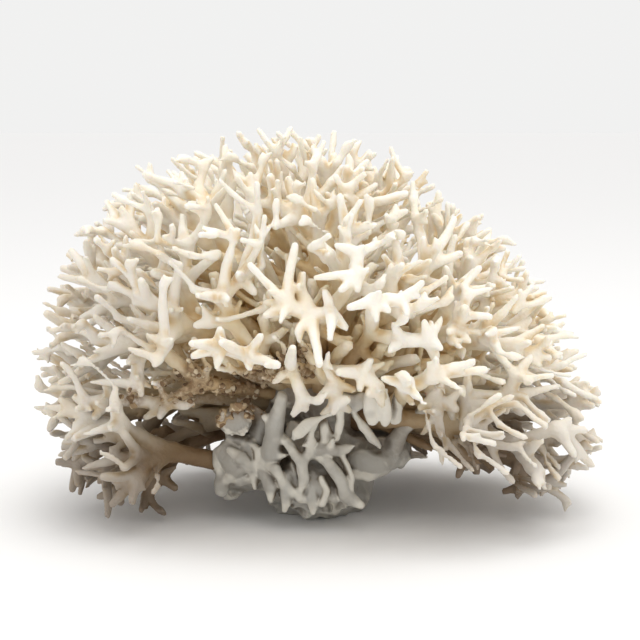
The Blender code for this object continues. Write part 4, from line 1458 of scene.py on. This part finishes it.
def add_rim_crumbs(field):
    """Rounded crumbs round the edge of the disc."""
    pixel_x, pixel_y, depth = DISC_MIDDLE
    half_across, half_down = DISC_HALF
    for number in range(RIM_CRUMBS):
        angle = 2 * math.pi * number / RIM_CRUMBS
        across = pixel_x + half_across * math.cos(angle)
        middle = seen_at(across, pixel_y - half_down * math.sin(angle), depth)
        radius = RIM_CRUMB_RADIUS + RIM_CRUMB_SPREAD * math.sin(RIM_CRUMB_WAVES * angle)
        field.add_limb([middle, middle + Vector((0, 1, 0))], [radius, radius], RIM_CRUMB_FILLET)


def holdfast_piece(material, noise, shade):
    """The lumpy foot with its straps, flaps and hollows, cut flat at the floor."""
    low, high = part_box("holdfast")
    low = np.array(low) / MM - FOOT_MARGIN
    high = np.array(high) / MM + FOOT_MARGIN
    for line in (*FOOT_LINES.values(), *FOOT_FLAPS.values()):
        for point, radius in zip(*line_form(line)):
            low = np.minimum(low, np.array(point) - radius - FOOT_MARGIN)
            high = np.maximum(high, np.array(point) + radius + FOOT_MARGIN)
    field = Field(low, high, FOOT_VOXEL)
    slices, axes = field.window(field.low, high)
    for name in LUMPS:
        field.blend(slices, lump_distance(axes, *LUMPS[name]), LUMP_FILLET)
    for size, depth in FOOT_FOLDS:
        field.roughen(noise, size, depth, is_ridged=True)
    for middle, half_sizes in HOLLOWS.values():
        place = tuple(seen_at(*middle))
        field.carve(slices, lump_distance(axes, place, half_sizes, 0), HOLLOW_FILLET)
    for line in FOOT_LINES.values():
        field.add_limb(*line_form(line), FOOT_FILLET)
    for line in FOOT_FLAPS.values():
        field.add_limb(*line_form(line), FLAP_FILLET, FLAP_THINNESS)
    add_rim_crumbs(field)
    for size, depth in FOOT_GRAINS:
        field.roughen(noise, size, depth)
    field.values = np.maximum(field.values, CUT_HEIGHT - axes[2]).astype(np.float32)
    return add_piece("holdfast_skin", field, 1, material, "holdfast", shade)


def points_of(piece):
    """The points of a piece's mesh, in millimetres."""
    held = np.zeros(3 * len(piece.data.vertices), np.float32)
    piece.data.vertices.foreach_get("co", held)
    return held.reshape(-1, 3).astype(float) / MM


def crumb_piece(carriers, material, dice, noise, shade):
    """Grains of sediment, each on the surface of a twig or of the holdfast."""
    places = []
    for piece in carriers:
        points = points_of(piece)
        places.append(points[sediment_share(points) > CRUMBY_SHARE])
    places = np.concatenate(places)
    chosen = [places[dice.randrange(len(places))] for _ in range(CRUMB_COUNT)]
    low = np.min(chosen, axis=0) - CRUMB_MARGIN
    field = Field(low, np.max(chosen, axis=0) + CRUMB_MARGIN, CRUMB_VOXEL)
    small, large = CRUMB_RADII
    for place in chosen:
        radius = small + (large - small) * dice.random() ** 2
        start = Vector(place)
        end = start + Vector([dice.uniform(-CRUMB_LENGTH, CRUMB_LENGTH) for _ in range(3)])
        field.add_limb([start, end], [radius, radius * dice.uniform(*CRUMB_TAPERS)], CRUMB_FILLET)
    field.roughen(noise, *CRUMB_GRAIN)
    return add_piece("sediment_crumbs", field, 0, material, None, shade)


def node_with(tree, kind, settings=None, **values):
    """A shader node with the given settings and unlinked values."""
    node = tree.nodes.new(kind)
    for key, value in (settings or {}).items():
        setattr(node, key, value)
    for key, value in values.items():
        node.inputs[key].default_value = value
    return node


def attribute(tree, name):
    """A value that the mesh holds at its points."""
    return node_with(tree, "ShaderNodeAttribute", {"attribute_name": name}).outputs["Fac"]


def texture(tree, kind, output, values):
    """An output of a procedural texture that stays fixed to the object."""
    node = node_with(tree, kind, **values)
    place = node_with(tree, "ShaderNodeTexCoord").outputs["Object"]
    tree.links.new(place, node.inputs["Vector"])
    return node.outputs[output]


def calculated(tree, operation, *terms):
    """What comes of an operation on sockets and numbers."""
    node = node_with(tree, "ShaderNodeMath", {"operation": operation})
    for socket, term in zip(node.inputs, terms):
        if isinstance(term, bpy.types.NodeSocket):
            tree.links.new(term, socket)
        else:
            socket.default_value = term
    return node.outputs[0]


def bumped(tree, height, values, below=None):
    """A surface direction bumped by a height, over another bump if one is given."""
    node = node_with(tree, "ShaderNodeBump", **values)
    tree.links.new(height, node.inputs["Height"])
    if below:
        tree.links.new(below, node.inputs["Normal"])
    return node.outputs["Normal"]


def new_material(name):
    """A new material, its node tree and its shader."""
    material = bpy.data.materials.new(name)
    material.use_nodes = True
    return material, material.node_tree, material.node_tree.nodes["Principled BSDF"]


def ramp(tree, source, stops):
    """A colour ramp over a value, from (place, colour) pairs."""
    node = tree.nodes.new("ShaderNodeValToRGB")
    elements = node.color_ramp.elements
    elements.remove(elements[1])
    elements[0].position = stops[0][0]
    elements[0].color = (*stops[0][1], 1.0)
    for place, colour in stops[1:]:
        elements.new(place).color = (*colour, 1.0)
    tree.links.new(source, node.inputs["Fac"])
    return node.outputs["Color"]


def strength(tree, source, places):
    """How strong an effect is over a value, from (place, strength) pairs."""
    return ramp(tree, source, [(place, (share,) * 3) for place, share in places])


def mixed(tree, kind, share, first, second):
    """A colour mixed with a plain second one, by a share."""
    node = node_with(tree, "ShaderNodeMix", {"data_type": "RGBA", "blend_type": kind})
    tree.links.new(share, node.inputs[0])
    tree.links.new(first, node.inputs[6])
    node.inputs[7].default_value = (*second, 1.0)
    return node.outputs[2]


def coral_material(name, look):
    """Chalky coral: colour by how far out it lies, with painted shade where limbs shelter it, in creases,
    and low and on the left of the colony, a painted highlight on thin forms, mottled and stained, with
    sediment dust, a fine grain and small pores.
    """
    material, tree, shader = new_material(name)
    # Painted shade: the less open a point among the limbs, the darker the brown that the ramp gives it.
    sheltered = calculated(
        tree, "MULTIPLY_ADD", attribute(tree, "openness"), OPENNESS_WEIGHT, attribute(tree, "outwards"))
    mottle = texture(tree, "ShaderNodeTexNoise", "Fac", MOTTLE)
    shifted = calculated(tree, "MULTIPLY_ADD", mottle, MOTTLE_WEIGHT, sheltered)
    scaled = calculated(tree, "DIVIDE", shifted, RAMP_SPAN)
    colour = ramp(tree, scaled, [(place / RAMP_SPAN, tone) for place, tone in look["stops"]])
    stained = strength(tree, texture(tree, "ShaderNodeTexNoise", "Fac", STAIN), STAIN_RANGE)
    colour = mixed(tree, "MULTIPLY", stained, colour, look["stain_tint"])
    # A painted highlight: thin forms turn lighter.
    highlight_range = tuple(zip(HIGHLIGHT_PLACES, (0.0, look["highlight_share"])))
    highlighted = strength(tree, attribute(tree, "rim"), highlight_range)
    colour = mixed(tree, "MIX", highlighted, colour, look["highlight_colour"])
    # Painted shade, low inside the colony and on its left.
    colour = mixed(tree, "MULTIPLY", attribute(tree, "painted_shade"), colour, look["painted_shade_tint"])
    # Painted shade in creases and forks.
    crease_shaded = strength(tree, attribute(tree, "crease"), CREASE_SHADE_RANGE)
    colour = mixed(tree, "MULTIPLY", crease_shaded, colour, look["crease_shade_tint"])
    patches = strength(tree, texture(tree, "ShaderNodeTexNoise", "Fac", DUST), DUST_RANGE)
    dusted = calculated(tree, "MULTIPLY", attribute(tree, "sediment"), patches)
    colour = mixed(tree, "MIX", dusted, colour, DUST_COLOUR)
    tree.links.new(colour, shader.inputs["Base Color"])
    shader.inputs["Roughness"].default_value = look["roughness"]
    shader.inputs["Subsurface Weight"].default_value = look["subsurface"]
    shader.inputs["Subsurface Radius"].default_value = SUBSURFACE_RADII
    shader.inputs["Subsurface Scale"].default_value = SUBSURFACE_SCALE
    grain = bumped(tree, texture(tree, "ShaderNodeTexNoise", "Fac", GRAIN), GRAIN_BUMP)
    pores = texture(tree, "ShaderNodeTexVoronoi", "Distance", PORES)
    tree.links.new(bumped(tree, pores, PORE_BUMP, grain), shader.inputs["Normal"])
    return material


def crumb_material():
    """Brown grains, some pale, some nearly black."""
    material, tree, shader = new_material("brown_sediment")
    split = node_with(tree, "ShaderNodeSeparateColor")
    tree.links.new(texture(tree, "ShaderNodeTexVoronoi", "Color", CRUMB_CELLS), split.inputs[0])
    tree.links.new(ramp(tree, split.outputs[0], CRUMB_STOPS), shader.inputs["Base Color"])
    shader.inputs["Roughness"].default_value = CRUMB_ROUGHNESS
    rough = texture(tree, "ShaderNodeTexNoise", "Fac", CRUMB_NOISE)
    tree.links.new(bumped(tree, rough, CRUMB_BUMP), shader.inputs["Normal"])
    return material


def add_floor():
    """A plain pale floor at the height of the cut."""
    mesh = bpy.data.meshes.new("floor")
    half = FLOOR_HALF
    corners = [(-half, -half, 0), (half, -half, 0), (half, half, 0), (-half, half, 0)]
    mesh.from_pydata(corners, [], [(0, 1, 2, 3)])
    floor = bpy.data.objects.new("floor", mesh)
    bpy.context.scene.collection.objects.link(floor)
    material, _, shader = new_material("pale_floor")
    shader.inputs["Base Color"].default_value = (FLOOR_TONE, FLOOR_TONE, FLOOR_TONE, 1.0)
    shader.inputs["Roughness"].default_value = FLOOR_ROUGHNESS
    mesh.materials.append(material)


def add_lamp(name, place, power, colour):
    """A soft round lamp that shines on the colony."""
    lamp = bpy.data.lights.new(name, "AREA")
    lamp.shape = "DISK"
    lamp.size = LAMP_SIZE
    lamp.energy = power
    lamp.color = colour
    light = bpy.data.objects.new(name, lamp)
    light.location = place
    light.rotation_euler = (LAMP_AIM - Vector(place)).to_track_quat("-Z", "Y").to_euler()
    bpy.context.scene.collection.objects.link(light)


def add_sky():
    """A pale sky, brighter overhead."""
    world = bpy.data.worlds.new("soft_studio")
    world.use_nodes = True
    tree = world.node_tree
    background = tree.nodes["Background"]
    split = node_with(tree, "ShaderNodeSeparateXYZ")
    tree.links.new(node_with(tree, "ShaderNodeTexCoord").outputs["Generated"], split.inputs[0])
    tree.links.new(ramp(tree, split.outputs["Z"], SKY_STOPS), background.inputs["Color"])
    background.inputs["Strength"].default_value = SKY_STRENGTH
    bpy.context.scene.world = world


def add_camera():
    """The camera at the photograph's viewing angle."""
    data = bpy.data.cameras.new("camera")
    data.sensor_width = SENSOR
    data.lens = SENSOR * PIXELS_PER_MM * CAMERA_DISTANCE / PHOTO_SIDE
    camera = bpy.data.objects.new("camera", data)
    back = -camera_axes(Vector)[0]
    camera.location = (CAMERA_TARGET + back * CAMERA_DISTANCE) * MM
    camera.rotation_euler = (-back).to_track_quat("-Z", "Y").to_euler()
    bpy.context.scene.collection.objects.link(camera)
    bpy.context.scene.camera = camera


def main():
    """Builds the stage, then the pieces, in an order that the random draws depend on."""
    add_camera()
    add_floor()
    add_sky()
    for name, settings in LAMPS.items():
        add_lamp(name, *settings)
    bpy.context.scene.view_settings.view_transform = "Standard"
    noise = Noise(SEED)
    dice = random.Random(SEED)
    twig_material = coral_material("bleached_coral", TWIG_LOOK)
    foot_material = coral_material("grey_holdfast", FOOT_LOOK)
    roots = skeleton(node_tree_mm("holdfast"))
    forms = {
        node: bough_forms(root, dice, node not in FRONT_BOUGHS) for node, root in roots.items()
    }
    for node in FRONT_BOUGHS:
        forms[node] = [
            (points, [min(radius, FRONT_THICKEST) for radius in radii])
            for points, radii in forms[node]
        ]
    shade = Shade(add_fine_twigs(forms, dice))
    pieces = [
        holdfast_piece(foot_material, noise, shade),
        core_piece(twig_material, dice, noise, shade),
    ]
    pieces += [bough_piece(node, forms[node], twig_material, noise, shade) for node in forms]
    crumb_piece(pieces, crumb_material(), dice, noise, shade)


main()
